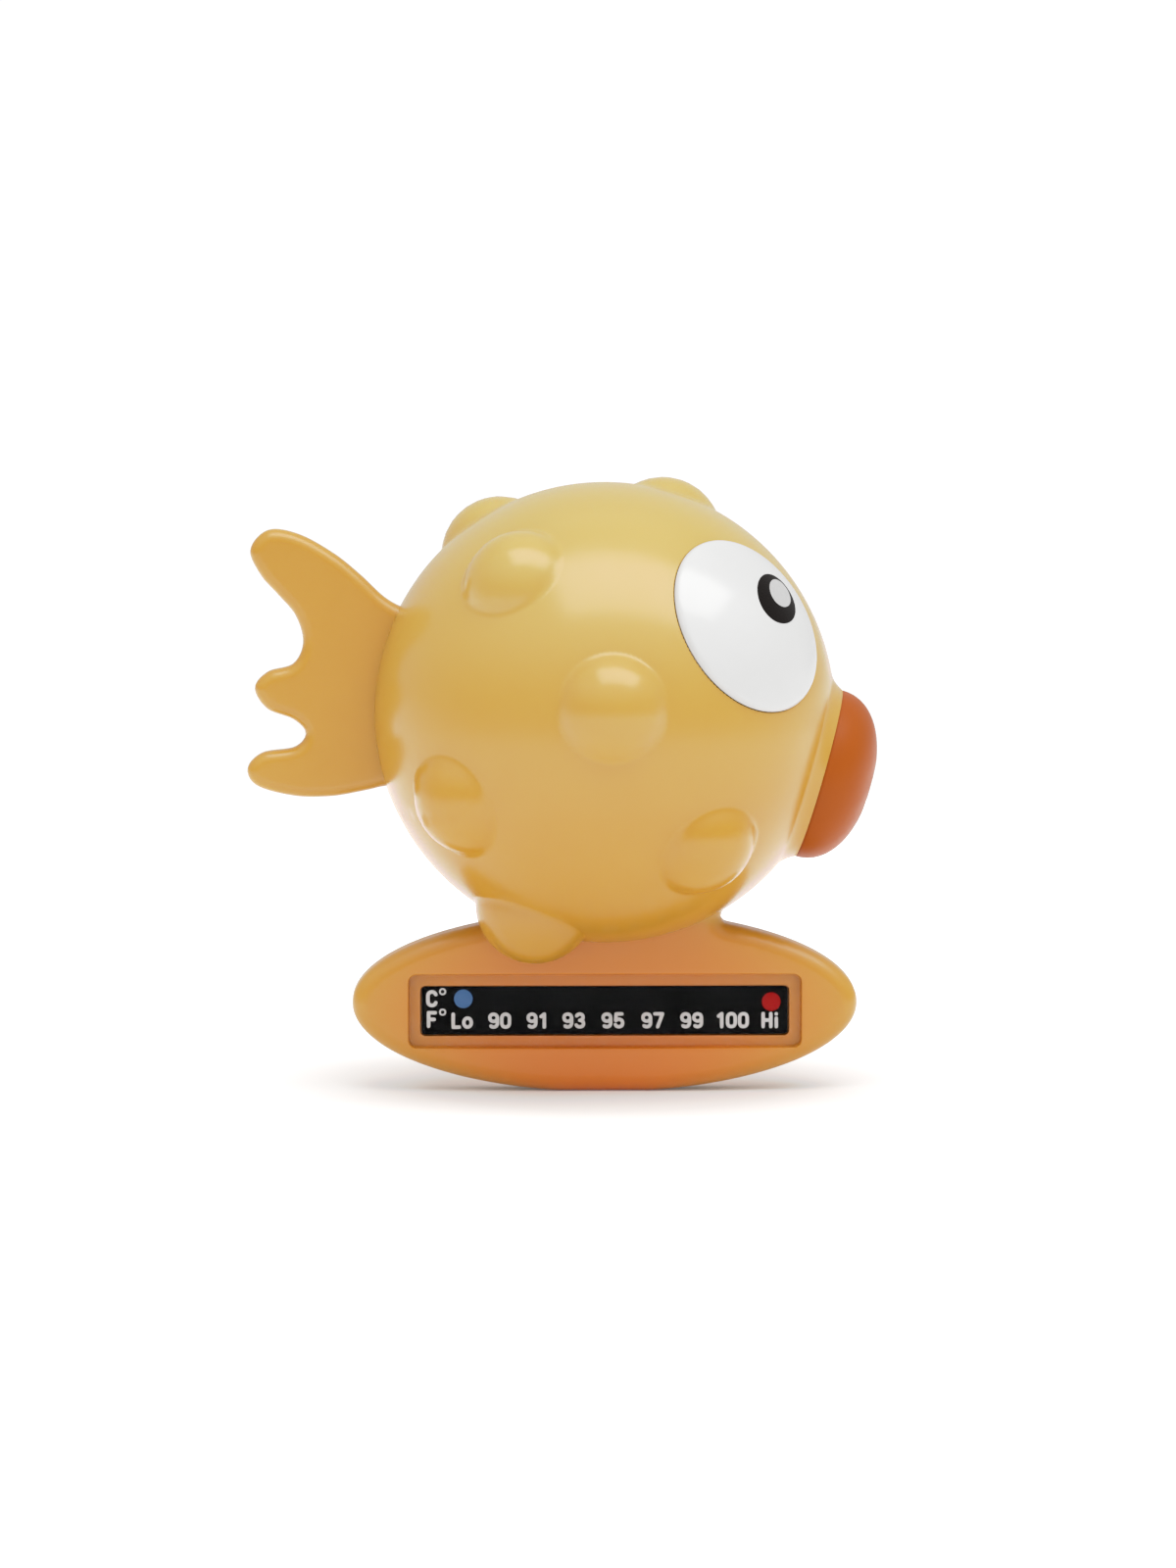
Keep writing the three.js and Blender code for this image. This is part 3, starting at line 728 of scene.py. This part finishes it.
def keel(material):
    """The oval keel, which runs up into the body's wall."""
    edge = keel_edge()
    outline = rooted(edge, 60)
    rims = [rounded_rectangle(**widened(WINDOW, grow)) for grow in WINDOW_RIMS]
    for grow in WELL_RIMS:
        for well in (STRIP, BALLAST):
            rims.append(rounded_rectangle(**widened(well, CLEARANCE + grow), corner_steps=4))
        rims.append(ellipse(*[half + CLEARANCE + grow for half in BACK_PLATE], BACK_PLATE_Z))
    points, faces = plate(outline, -KEEL_HALF, KEEL_HALF, KEEL_EDGE, 1.3, 9, rims, edge, keel_levels)
    piece("keel", points, faces, material, ["keel_body"], crisp=40)


def keel_cover(material):
    outline = ellipse(*BACK_PLATE, BACK_PLATE_Z)
    points, faces = plate(outline, KEEL_HALF - BACK_PLATE_THICKNESS, KEEL_HALF, 0.3, 2, 4)
    piece("keel_cover", points, faces, material, ["keel_back_plate"], crisp=40)


def window_pane(material):
    outline = rounded_rectangle(**widened(WINDOW, -CLEARANCE))
    points, faces = plate(outline, LENS_FRONT, LENS_BACK, 0.15, 3, 3)
    piece("window_pane", points, faces, material, ["window_lens"], crisp=40)


def film(material):
    outline = rounded_rectangle(**STRIP, corner_steps=4)
    points, faces = plate(outline, STRIP_FRONT, STRIP_BACK, 0.05, 3, 2)
    piece("strip_film", points, faces, material, ["crystal_strip"], crisp=40)


# ---- what is printed on the strip ----

LETTER_GAP = 0.04  # between letters, as a share of their height
STROKE = 0.21  # stroke width of the figures, as a share of their height
LEFT, MIDDLE, RIGHT, HIGH, LOW = 0.11, 0.34, 0.57, 0.89, 0.11
BOW = 0.23  # half width of a figure's curved strokes
DEGREE_RADIUS, DEGREE_STROKE = 0.48, 0.3
DOT_RADIUS = 1.63
DOT_EDGE = 0.04

SCALE_Z, SCALE_HEIGHT = 12.27, 2.9
SCALE = [
    ("Lo", -24.8), ("90", -18.3), ("91", -11.8), ("93", -5.4), ("95", 1.4), ("97", 8.3), ("99", 15.1),
    ("100", 22.2), ("Hi", 28.7),
]
# Each text with its middle's x and z and its height.
TEXTS = [(text, x, SCALE_Z, SCALE_HEIGHT) for text, x in SCALE]
TEXTS += [("C", -30.05, 16.14, 3.05), ("F", -30.1, 12.5, 3.0)]
DEGREE_SIGNS = [(-28.2, 17.36), (-28.2, 13.77)]
COLD_DOT, HOT_DOT = (-24.6, 16.1), (28.95, 15.5)


def oval(x, z, wide, high, start, end, steps=14):
    """Part of an oval, between two angles in degrees."""
    turns = np.radians(np.linspace(start, end, steps + 1))
    return [(x + wide * math.cos(t), z + high * math.sin(t)) for t in turns]


def bow(z, high, start, end, wide=BOW):
    """A figure's curved stroke, round the figure's middle."""
    return oval(MIDDLE, z, wide, high, start, end)


# Each figure's width and strokes, in a box one unit high.
FIGURES = {
    "0": (0.68, [bow(0.66, BOW, 0, 180) + bow(0.34, BOW, 180, 360) + [(RIGHT, 0.66)]]),
    "1": (0.56, [[(0.36, LOW), (0.36, HIGH)], [(0.36, HIGH), (0.17, 0.74)]]),
    "3": (0.68, [bow(0.7, 0.19, 155, -90, 0.2), bow(0.31, 0.2, 90, -155)]),
    "5": (0.68, [[(0.52, HIGH), (0.18, HIGH)], [(0.18, HIGH), (0.15, 0.52)], bow(0.34, 0.23, 140, -155)]),
    "7": (0.66, [[(LEFT, HIGH), (RIGHT, HIGH)], [(RIGHT, HIGH), (0.28, LOW)]]),
    "9": (0.68, [bow(0.67, 0.22, 0, 360), [(RIGHT, 0.67)] + bow(0.34, BOW, 0, -132)]),
    "L": (0.6, [[(0.12, HIGH), (0.12, LOW)], [(0.12, LOW), (0.48, LOW)]]),
    "o": (0.68, [bow(0.385, 0.275, 0, 360)]),
    "H": (0.68, [[(LEFT, LOW), (LEFT, HIGH)], [(RIGHT, LOW), (RIGHT, HIGH)], [(LEFT, 0.5), (RIGHT, 0.5)]]),
    "i": (0.29, [[(0.18, LOW), (0.18, 0.6)], [(0.18, 0.87), (0.18, 0.88)]]),
    "C": (0.68, [bow(0.66, BOW, 20, 180) + bow(0.34, BOW, 180, 340)]),
    "F": (0.6, [[(0.12, LOW), (0.12, HIGH)], [(0.12, HIGH), (0.5, HIGH)], [(0.12, 0.5), (0.44, 0.5)]]),
}


def stroke(path, width):
    """A ribbon along a path in x and z, as overlapping outlines: its two round ends and its steps."""
    path = np.array(path, float)
    along = unit(np.gradient(path, axis=0))
    side = np.stack([-along[:, 1], along[:, 0]], 1) * width / 2
    disc = unit_circle(20) * width / 2
    outlines = [path[0] + disc, path[-1] + disc]
    low, high = path - side, path + side
    for i in range(len(path) - 1):
        outlines.append(np.array([low[i], low[i + 1], high[i + 1], high[i]]))
    return outlines


def inked(outlines):
    """Overlapping outlines joined into one thin closed layer of ink on the strip."""
    corners = [Vector(point) for outline in outlines for point in outline]
    faces = []
    start = 0
    for outline in outlines:
        faces.append(list(range(start, start + len(outline))))
        start += len(outline)
    found = delaunay_2d_cdt(corners, [], faces, EVERY_TRIANGLE, SAME_INK, True)
    triangles = [face for face, covered_by in zip(found[2], found[5]) if covered_by]
    flat = np.array([tuple(point) for point in found[0]])
    layers = [upright(flat, STRIP_FRONT + depth) for depth in (-INK, INK)]
    return closed_skin(*layers, np.array(triangles))[:2]


def letters(text, x, z, height):
    """The outlines of each letter of a text whose middle is at x and z."""
    width = sum(FIGURES[letter][0] for letter in text)
    at = x - height * (width + LETTER_GAP * (len(text) - 1)) / 2
    found = []
    for letter in text:
        letter_width, paths = FIGURES[letter]
        outlines = []
        for path in paths:
            placed = [(at + u * height, z + (v - 0.5) * height) for u, v in path]
            outlines += stroke(placed, STROKE * height)
        found.append(outlines)
        at += height * (letter_width + LETTER_GAP)
    return found


def figures(material):
    """All the printed text and the degree signs, as one piece."""
    signs = [outlines for entry in TEXTS for outlines in letters(*entry)]
    for x, z in DEGREE_SIGNS:
        signs.append(stroke(oval(x, z, DEGREE_RADIUS, DEGREE_RADIUS, 0, 360), DEGREE_STROKE))
    points = []
    faces = []
    for outlines in signs:
        sign_points, sign_faces = inked(outlines)
        faces += [tuple(v + len(points) for v in face) for face in sign_faces]
        points += sign_points.tolist()
    piece("strip_figures", points, faces, material, crisp=30)


def dot(name, place, material):
    profile = [(0, 0), (DOT_RADIUS, 0), (DOT_RADIUS, INK * 0.6), (DOT_RADIUS - DOT_EDGE, INK), (0, INK)]
    x, z = place
    points, faces = turned(profile, np.array([0, -1, 0]), np.array([x, STRIP_FRONT, z]), 48)
    piece(name, points, faces, material, crisp=30)


# ---- materials ----

YELLOW = (0.455, 0.212, 0.02)
DEEP_YELLOW = (0.44, 0.203, 0.017)
# a paler, creamier yellow for the body's top: painted sheen from the overhead light
PAINTED_SHEEN_YELLOW = (0.47, 0.29, 0.065)
PAINTED_SHEEN_RISE = (0.05, 0.1)  # metres: the heights between which the body turns pale, a painted sheen standing in for the overhead light's reflection
SPRAY = (0.49, 0.158, 0.005)
# the keel's bottom: a deeper orange spray, with its red raised as painted fill light where the bottom gets
# little light
DEEP_SPRAY_AND_PAINTED_FILL = (0.62, 0.142, 0.006)
DEEP_SPRAY_AND_FILL_TOP = 0.03  # metres: below this the keel turns the deeper, lighter orange
LIP_ORANGE = (0.285, 0.058, 0.004)
NATURAL, PALE_NATURAL = (0.74, 0.72, 0.64), (0.8, 0.78, 0.7)
WHITE, DULL_WHITE = (0.58, 0.58, 0.575), (0.565, 0.565, 0.56)
PUPIL_BLACK, GLINT_GREY = (0.006, 0.0045, 0.004), (0.42, 0.415, 0.41)
FIGURE_WHITE, DOT_BLUE, DOT_RED = (0.58, 0.58, 0.58), (0.047, 0.13, 0.31), (0.33, 0.002, 0.0015)
FILM_BLACK, FILM_SHEEN = (0.0012, 0.0012, 0.0014), (0.003, 0.003, 0.0034)
PANE_DARK, PANE_HAZE = (0.006, 0.0062, 0.0064), (0.01, 0.0102, 0.0104)
FOAM_CELL, FOAM_WALL = (0.012, 0.012, 0.013), (0.05, 0.05, 0.052)
SPRING_STEEL, PLATED_STEEL = (0.6, 0.6, 0.62), (0.42, 0.43, 0.45)
FILM_BAND = 6.6  # millimetres across one of the film's faint bands


def recipe(name):
    """A node material with its shader and a lookup in the object's own coordinates."""
    material = bpy.data.materials.new(name)
    material.use_nodes = True
    nodes = material.node_tree.nodes
    return material, nodes["Principled BSDF"], nodes.new("ShaderNodeTexCoord").outputs["Object"]


def link(value, socket):
    value.id_data.links.new(value, socket)


def set_inputs(node, values):
    for name, value in values.items():
        node.inputs[name].default_value = value


def fed(value, kind, socket=0):
    """A new node of this kind with the value linked to one of its inputs."""
    node = value.id_data.nodes.new(f"ShaderNode{kind}")
    link(value, node.inputs[socket])
    return node


def axes_of(place):
    """The x, y and z of a place."""
    return fed(place, "SeparateXYZ").outputs


def noise(place, size, detail=3, rough=0.5):
    """Cloudy noise whose blobs are about this size in millimetres."""
    texture = fed(place, "TexNoise", "Vector")
    set_inputs(texture, {"Scale": 1 / (size * MM), "Detail": detail, "Roughness": rough})
    return texture.outputs["Fac"]


def spread(value, low, high, start=0.3, end=0.7):
    """The value mapped onto a range."""
    mapped = fed(value, "MapRange", "Value")
    set_inputs(mapped, {"From Min": start, "From Max": end, "To Min": low, "To Max": high})
    return mapped.outputs["Result"]


def blend_colours(factor, first, second):
    mix = fed(factor, "Mix", "Factor")
    mix.data_type = "RGBA"
    for socket, colour in ((mix.inputs[6], first), (mix.inputs[7], second)):
        if isinstance(colour, tuple):
            socket.default_value = (*colour, 1)
        else:
            link(colour, socket)
    return mix.outputs[2]


def cloudy(place, size, first, second):
    """Two colours mingled in clouds of about this size in millimetres."""
    return blend_colours(spread(noise(place, size), 0, 1), first, second)


def maths(operation, *values):
    linked = [value for value in values if not isinstance(value, (int, float))]
    node = linked[0].id_data.nodes.new("ShaderNodeMath")
    node.operation = operation
    for socket, value in zip(node.inputs, values):
        if isinstance(value, (int, float)):
            socket.default_value = value
        else:
            link(value, socket)
    return node.outputs[0]


def mixed(share, first, second):
    """A blend of two values, by the second one's share."""
    rest = maths("SUBTRACT", 1.0, share)
    return maths("ADD", maths("MULTIPLY", rest, first), maths("MULTIPLY", share, second))


def coat(shader, colour, roughness, bumps):
    """Link a colour, a roughness and layers of bumps: height values with depths in millimetres."""
    link(colour, shader.inputs["Base Color"])
    link(roughness, shader.inputs["Roughness"])
    normal = None
    for height, depth in bumps:
        node = fed(height, "Bump", "Height")
        set_inputs(node, {"Strength": 1, "Distance": depth * MM})
        if normal is not None:
            link(normal, node.inputs["Normal"])
        normal = node.outputs["Normal"]
    link(normal, shader.inputs["Normal"])


def moulded_plastic(name, first, second, roughness, translucency=0.0, shine=0.5, orange_peel=0.002, top=None):
    """Glossy moulded plastic: cloudy pigment, paler towards the top if asked, which is a painted sheen, and a
    fine orange peel.
    """
    material, shader, place = recipe(name)
    colour = cloudy(place, 14, first, second)
    # painted sheen: if asked, the colour turns paler towards the top, where the overhead light reflects
    if top:
        colour = blend_colours(spread(axes_of(place)[2], 0, 1, *PAINTED_SHEEN_RISE), colour, top)
    gloss = spread(noise(place, 5, 2), roughness * 0.92, roughness * 1.1)
    peel = (noise(place, 1.6, 2), orange_peel)
    grain = (noise(place, 0.25, 2), orange_peel / 8)
    coat(shader, colour, gloss, [peel, grain])
    shader.inputs["Specular IOR Level"].default_value = shine
    if translucency:
        set_inputs(shader, {
            "Subsurface Weight": translucency,
            "Subsurface Radius": (1, 0.45, 0.15),
            "Subsurface Scale": 2.5 * MM,
        })
    return material


def sprayed_plastic(name, yellow, orange, deep_and_fill):
    """Yellow plastic sprayed orange from its middle out, with an airbrush's fine speckle. Towards the bottom
    it turns a deeper orange, partly the paint and partly painted fill light.
    """
    material, shader, place = recipe(name)
    x, _, z = axes_of(place)
    height = maths("DIVIDE", maths("SUBTRACT", z, KEEL_CENTRE_Z * MM), KEEL_HALF_HEIGHT * MM)
    room = maths("SUBTRACT", 1.0, maths("MULTIPLY", height, height))
    narrowing = maths("SQRT", maths("MAXIMUM", room, 0.09))
    half = maths("MULTIPLY", narrowing, KEEL_HALF_LENGTH * MM)
    outwards = maths("ABSOLUTE", maths("DIVIDE", x, half))
    speckle = spread(noise(place, 0.5, 3, 0.7), -0.03, 0.03)
    share = maths("MAXIMUM", maths("ADD", outwards, speckle), 0.0)
    spray = maths("SUBTRACT", 1.0, maths("POWER", share, 3.0))
    # towards the bottom: deeper orange spray, lighter in red as painted fill light
    paint_and_fill = blend_colours(spread(z, 1, 0, 0.0, DEEP_SPRAY_AND_FILL_TOP), orange, deep_and_fill)
    colour = blend_colours(maths("MAXIMUM", spray, 0.0), yellow, paint_and_fill)
    gloss = spread(noise(place, 4, 4), 0.3, 0.36)
    coat(shader, colour, gloss, [(noise(place, 1.4, 2), 0.002), (noise(place, 0.2, 2), 0.0006)])
    return material


def ink(name, colour, roughness=0.45, shine=0.25):
    """A printed layer: slightly uneven in tone, with a faint screen texture."""
    material, shader, place = recipe(name)
    darker = tuple(0.88 * part for part in colour)
    gloss = spread(noise(place, 0.3), roughness * 0.8, roughness * 1.2)
    coat(shader, cloudy(place, 0.6, darker, colour), gloss, [(noise(place, 0.15, 2), 0.002)])
    shader.inputs["Specular IOR Level"].default_value = shine
    return material


def metal(name, colour, roughness, grain=(1, 1, 12)):
    """Steel with a fine drawn grain and a little tarnish."""
    material, shader, place = recipe(name)
    shader.inputs["Metallic"].default_value = 1
    stretch = fed(place, "Mapping", "Vector")
    stretch.inputs["Scale"].default_value = grain
    lines = noise(stretch.outputs["Vector"], 0.8, 4)
    dull = tuple(0.7 * part for part in colour)
    gloss = spread(lines, roughness * 0.7, roughness * 1.3)
    coat(shader, cloudy(place, 4, dull, colour), gloss, [(lines, 0.01)])
    return material


def foam(name):
    """Black closed-cell foam: small round cells."""
    material, shader, place = recipe(name)
    cells = fed(place, "TexVoronoi", "Vector")
    cells.inputs["Scale"].default_value = 1 / (0.4 * MM)
    distance = cells.outputs["Distance"]
    colour = blend_colours(distance, FOAM_CELL, FOAM_WALL)
    coat(shader, colour, spread(distance, 0.75, 0.95, 0, 1), [(distance, 0.08)])
    return material


def clear_plastic(name):
    """Clear polystyrene: nearly all see-through, with a faint haze and a polished face."""
    material, shader, place = recipe(name)
    gloss = spread(noise(place, 3), 0.04, 0.1)
    coat(shader, cloudy(place, 6, PANE_DARK, PANE_HAZE), gloss, [(noise(place, 8, 2), 0.003)])
    shader.inputs["Alpha"].default_value = 0.03
    return material


def glossy_white(name):
    material, shader, place = recipe(name)
    gloss = spread(noise(place, 4), 0.17, 0.2)
    coat(shader, cloudy(place, 8, DULL_WHITE, WHITE), gloss, [(noise(place, 2.5, 2), 0.003)])
    return material


def printed_film(name):
    """Black liquid crystal film: a satin face with faint bands where the cells lie."""
    material, shader, place = recipe(name)
    # The texture's phase runs at 20 times its scale.
    bands = fed(place, "TexWave", "Vector")
    bands.inputs["Scale"].default_value = math.pi / (20 * FILM_BAND * MM)
    tone = maths("MULTIPLY", bands.outputs["Fac"], spread(noise(place, 1.2), 0.4, 1))
    gloss = spread(noise(place, 2), 0.38, 0.5)
    colour = blend_colours(tone, FILM_BLACK, FILM_SHEEN)
    coat(shader, colour, gloss, [(noise(place, 0.5, 2), 0.003)])
    shader.inputs["Specular IOR Level"].default_value = 0.01
    return material


# ---- the stage, in metres ----

SOFTBOX = {"x": 0.24, "y": -0.33, "z": 1.0, "width": 1.22, "depth": 0.66, "radiance": 4.3}
FLOOR_RADIUS, FLOOR_THICKNESS = 520, 20  # millimetres
FLOOR_GREY, FLOOR_PALE = (0.78, 0.78, 0.78), (0.81, 0.81, 0.81)
PAINTED_SHADOW_GLOW = {"low": 0.08, "high": 0.68, "start": 0.03, "end": 0.085}  # by distance from the foot: dim round the foot and bright further out, a painted shadow under the object
GLOW_BEYOND = {"low": 0, "high": 0.7, "start": 0, "end": 0.4}  # by y
# How bright the surroundings are in each direction.
BACKDROP = 0.8
GAP_OVERHEAD = 1.2
FRONT = 0.55
FRONT_HIGH = 1.55
BELOW = 1.5
# Light and the tone it is given in the picture.
TONES = [(0, 0), (0.5, 0.5), (0.66, 0.625), (0.86, 0.715), (1.0, 0.80), (1.35, 1.0)]
CAMERA_AZIMUTH, CAMERA_ELEVATION = math.radians(-1), math.radians(5.5)
CAMERA_DISTANCE = 1.514
CAMERA_TARGET = Vector((-0.00287, 0, 0.0533))
LENS, SENSOR = 200, 36  # millimetres


def floor():
    """A pale disc that glows: dimly round the foot, which paints a tight shadow under the object, brighter
    further out, and more towards the back, where the backdrop takes over.
    """
    profile = [(0, -FLOOR_THICKNESS), (FLOOR_RADIUS, -FLOOR_THICKNESS), (FLOOR_RADIUS, 0), (0, 0)]
    points, faces = turned(profile, np.array([0, 0, 1]), np.zeros(3))
    material, shader, place = recipe("floor_white")
    link(cloudy(place, 60, FLOOR_GREY, FLOOR_PALE), shader.inputs["Base Color"])
    set_inputs(shader, {"Roughness": 0.9, "Specular IOR Level": 0.1, "Emission Color": (1, 1, 1, 1)})
    length = fed(place, "VectorMath")
    length.operation = "LENGTH"
    # painted shadow: the floor's glow is dim round the foot and rises outwards, and it also lights the object
    # from below
    shadow_glow = spread(length.outputs["Value"], **PAINTED_SHADOW_GLOW)
    beyond = spread(axes_of(place)[1], **GLOW_BEYOND)
    link(maths("ADD", shadow_glow, beyond), shader.inputs["Emission Strength"])
    disc = mesh_object("floor", points, faces, material)


def softbox():
    light = bpy.data.lights.new("softbox", "AREA")
    light.shape = "RECTANGLE"
    light.size = SOFTBOX["width"]
    light.size_y = SOFTBOX["depth"]
    light.energy = SOFTBOX["radiance"] * math.pi * SOFTBOX["width"] * SOFTBOX["depth"]
    lamp = bpy.data.objects.new("softbox", light)
    lamp.location = (SOFTBOX["x"], SOFTBOX["y"], SOFTBOX["z"])
    bpy.context.scene.collection.objects.link(lamp)


def surroundings():
    """White below and behind, dim in front and overhead, blended by direction."""
    world = bpy.data.worlds.new("studio")
    world.use_nodes = True
    tree = world.node_tree
    place = tree.nodes.new("ShaderNodeTexCoord")
    _, y, z = axes_of(place.outputs["Generated"])
    back = spread(y, 0, 1, -0.25, 0.35)
    high_front = spread(z, FRONT, FRONT_HIGH, 0.2, 0.65)
    side = mixed(back, high_front, BACKDROP)
    up = mixed(spread(z, 0, 1, 0.76, 0.86), side, GAP_OVERHEAD)
    under_front = spread(z, 1, 0, -0.4, 0.05)
    under_back = spread(z, 1, 0, -0.01, 0.02)
    level = mixed(mixed(back, under_front, under_back), up, BELOW)
    background = tree.nodes["Background"]
    background.inputs["Color"].default_value = (1, 1, 1, 1)
    link(level, background.inputs["Strength"])
    bpy.context.scene.world = world


def camera():
    """A long lens a little above the object, looking along +Y."""
    back = Vector((
        math.sin(CAMERA_AZIMUTH) * math.cos(CAMERA_ELEVATION),
        -math.cos(CAMERA_AZIMUTH) * math.cos(CAMERA_ELEVATION),
        math.sin(CAMERA_ELEVATION),
    ))
    data = bpy.data.cameras.new("camera")
    data.lens = LENS
    data.sensor_width = SENSOR
    data.sensor_fit = "AUTO"
    data.clip_start = 0.01
    data.clip_end = 50
    eye_point = bpy.data.objects.new("camera", data)
    eye_point.location = CAMERA_TARGET + back * CAMERA_DISTANCE
    eye_point.rotation_euler = back.to_track_quat("Z", "Y").to_euler()
    bpy.context.scene.collection.objects.link(eye_point)
    bpy.context.scene.camera = eye_point


def photographic_tones():
    """A camera's soft shoulder: the brightest tones are pressed together before white."""
    settings = bpy.context.scene.view_settings
    settings.view_transform = "Standard"
    settings.use_curve_mapping = True
    mapping = settings.curve_mapping
    mapping.use_clip = False
    curve = mapping.curves[3]
    curve.points[0].location = TONES[0]
    curve.points[1].location = TONES[-1]
    for light, tone in TONES[1:-1]:
        curve.points.new(light, tone)
    mapping.update()


# ---- build ----

camera()
softbox()
surroundings()
floor()
photographic_tones()

# the body's paler top is a painted sheen
body = moulded_plastic("body_plastic", DEEP_YELLOW, YELLOW, 0.24, 0.12, top=PAINTED_SHEEN_YELLOW)
shell("body_right", "right_shell", RIGHT_KNOBS, False, body)
shell("body_left", "left_shell", LEFT_KNOBS, True, body)
tail(moulded_plastic("tail_plastic", DEEP_YELLOW, YELLOW, 0.3, 0.12))
pale_lip = tuple(1.06 * part for part in LIP_ORANGE)
lips(moulded_plastic("lip_plastic", LIP_ORANGE, pale_lip, 0.42, shine=0.1))

white = glossy_white("eye_plastic")
black_ink = ink("pupil_ink", PUPIL_BLACK, 0.3, 0.04)
grey_ink = ink("glint_ink", GLINT_GREY, 0.35)
for side, mirrored in (("right", False), ("left", True)):
    eye(f"eye_{side}", f"{side}_eye", mirrored, white)
    dome_print(f"pupil_{side}", (0, 0), PUPIL_SIZE, INK, mirrored, black_ink)
    dome_print(f"glint_{side}", GLINT_SHIFT, GLINT_SIZE, 2 * INK, mirrored, grey_ink)

keel_paint = sprayed_plastic("keel_paint", YELLOW, SPRAY, DEEP_SPRAY_AND_PAINTED_FILL)
keel(keel_paint)
keel_cover(keel_paint)
window_pane(clear_plastic("window_plastic"))
film(printed_film("crystal_film"))
figures(ink("figure_ink", FIGURE_WHITE))
dot("cold_dot", COLD_DOT, ink("blue_ink", DOT_BLUE))
dot("hot_dot", HOT_DOT, ink("red_ink", DOT_RED, 0.45, 0.1))

HIDDEN = {
    "mouth_retainer": moulded_plastic("natural_plastic", NATURAL, PALE_NATURAL, 0.45),
    "right_eye_clip": metal("spring_steel", SPRING_STEEL, 0.35),
    "left_eye_clip": metal("clip_steel", SPRING_STEEL, 0.35),
    "ballast_bar": metal("plated_steel", PLATED_STEEL, 0.4, (1, 12, 12)),
    "strip_backing": foam("black_foam"),
}
for node, material in HIDDEN.items():
    NODES[node].data.materials.clear()
    NODES[node].data.materials.append(material)
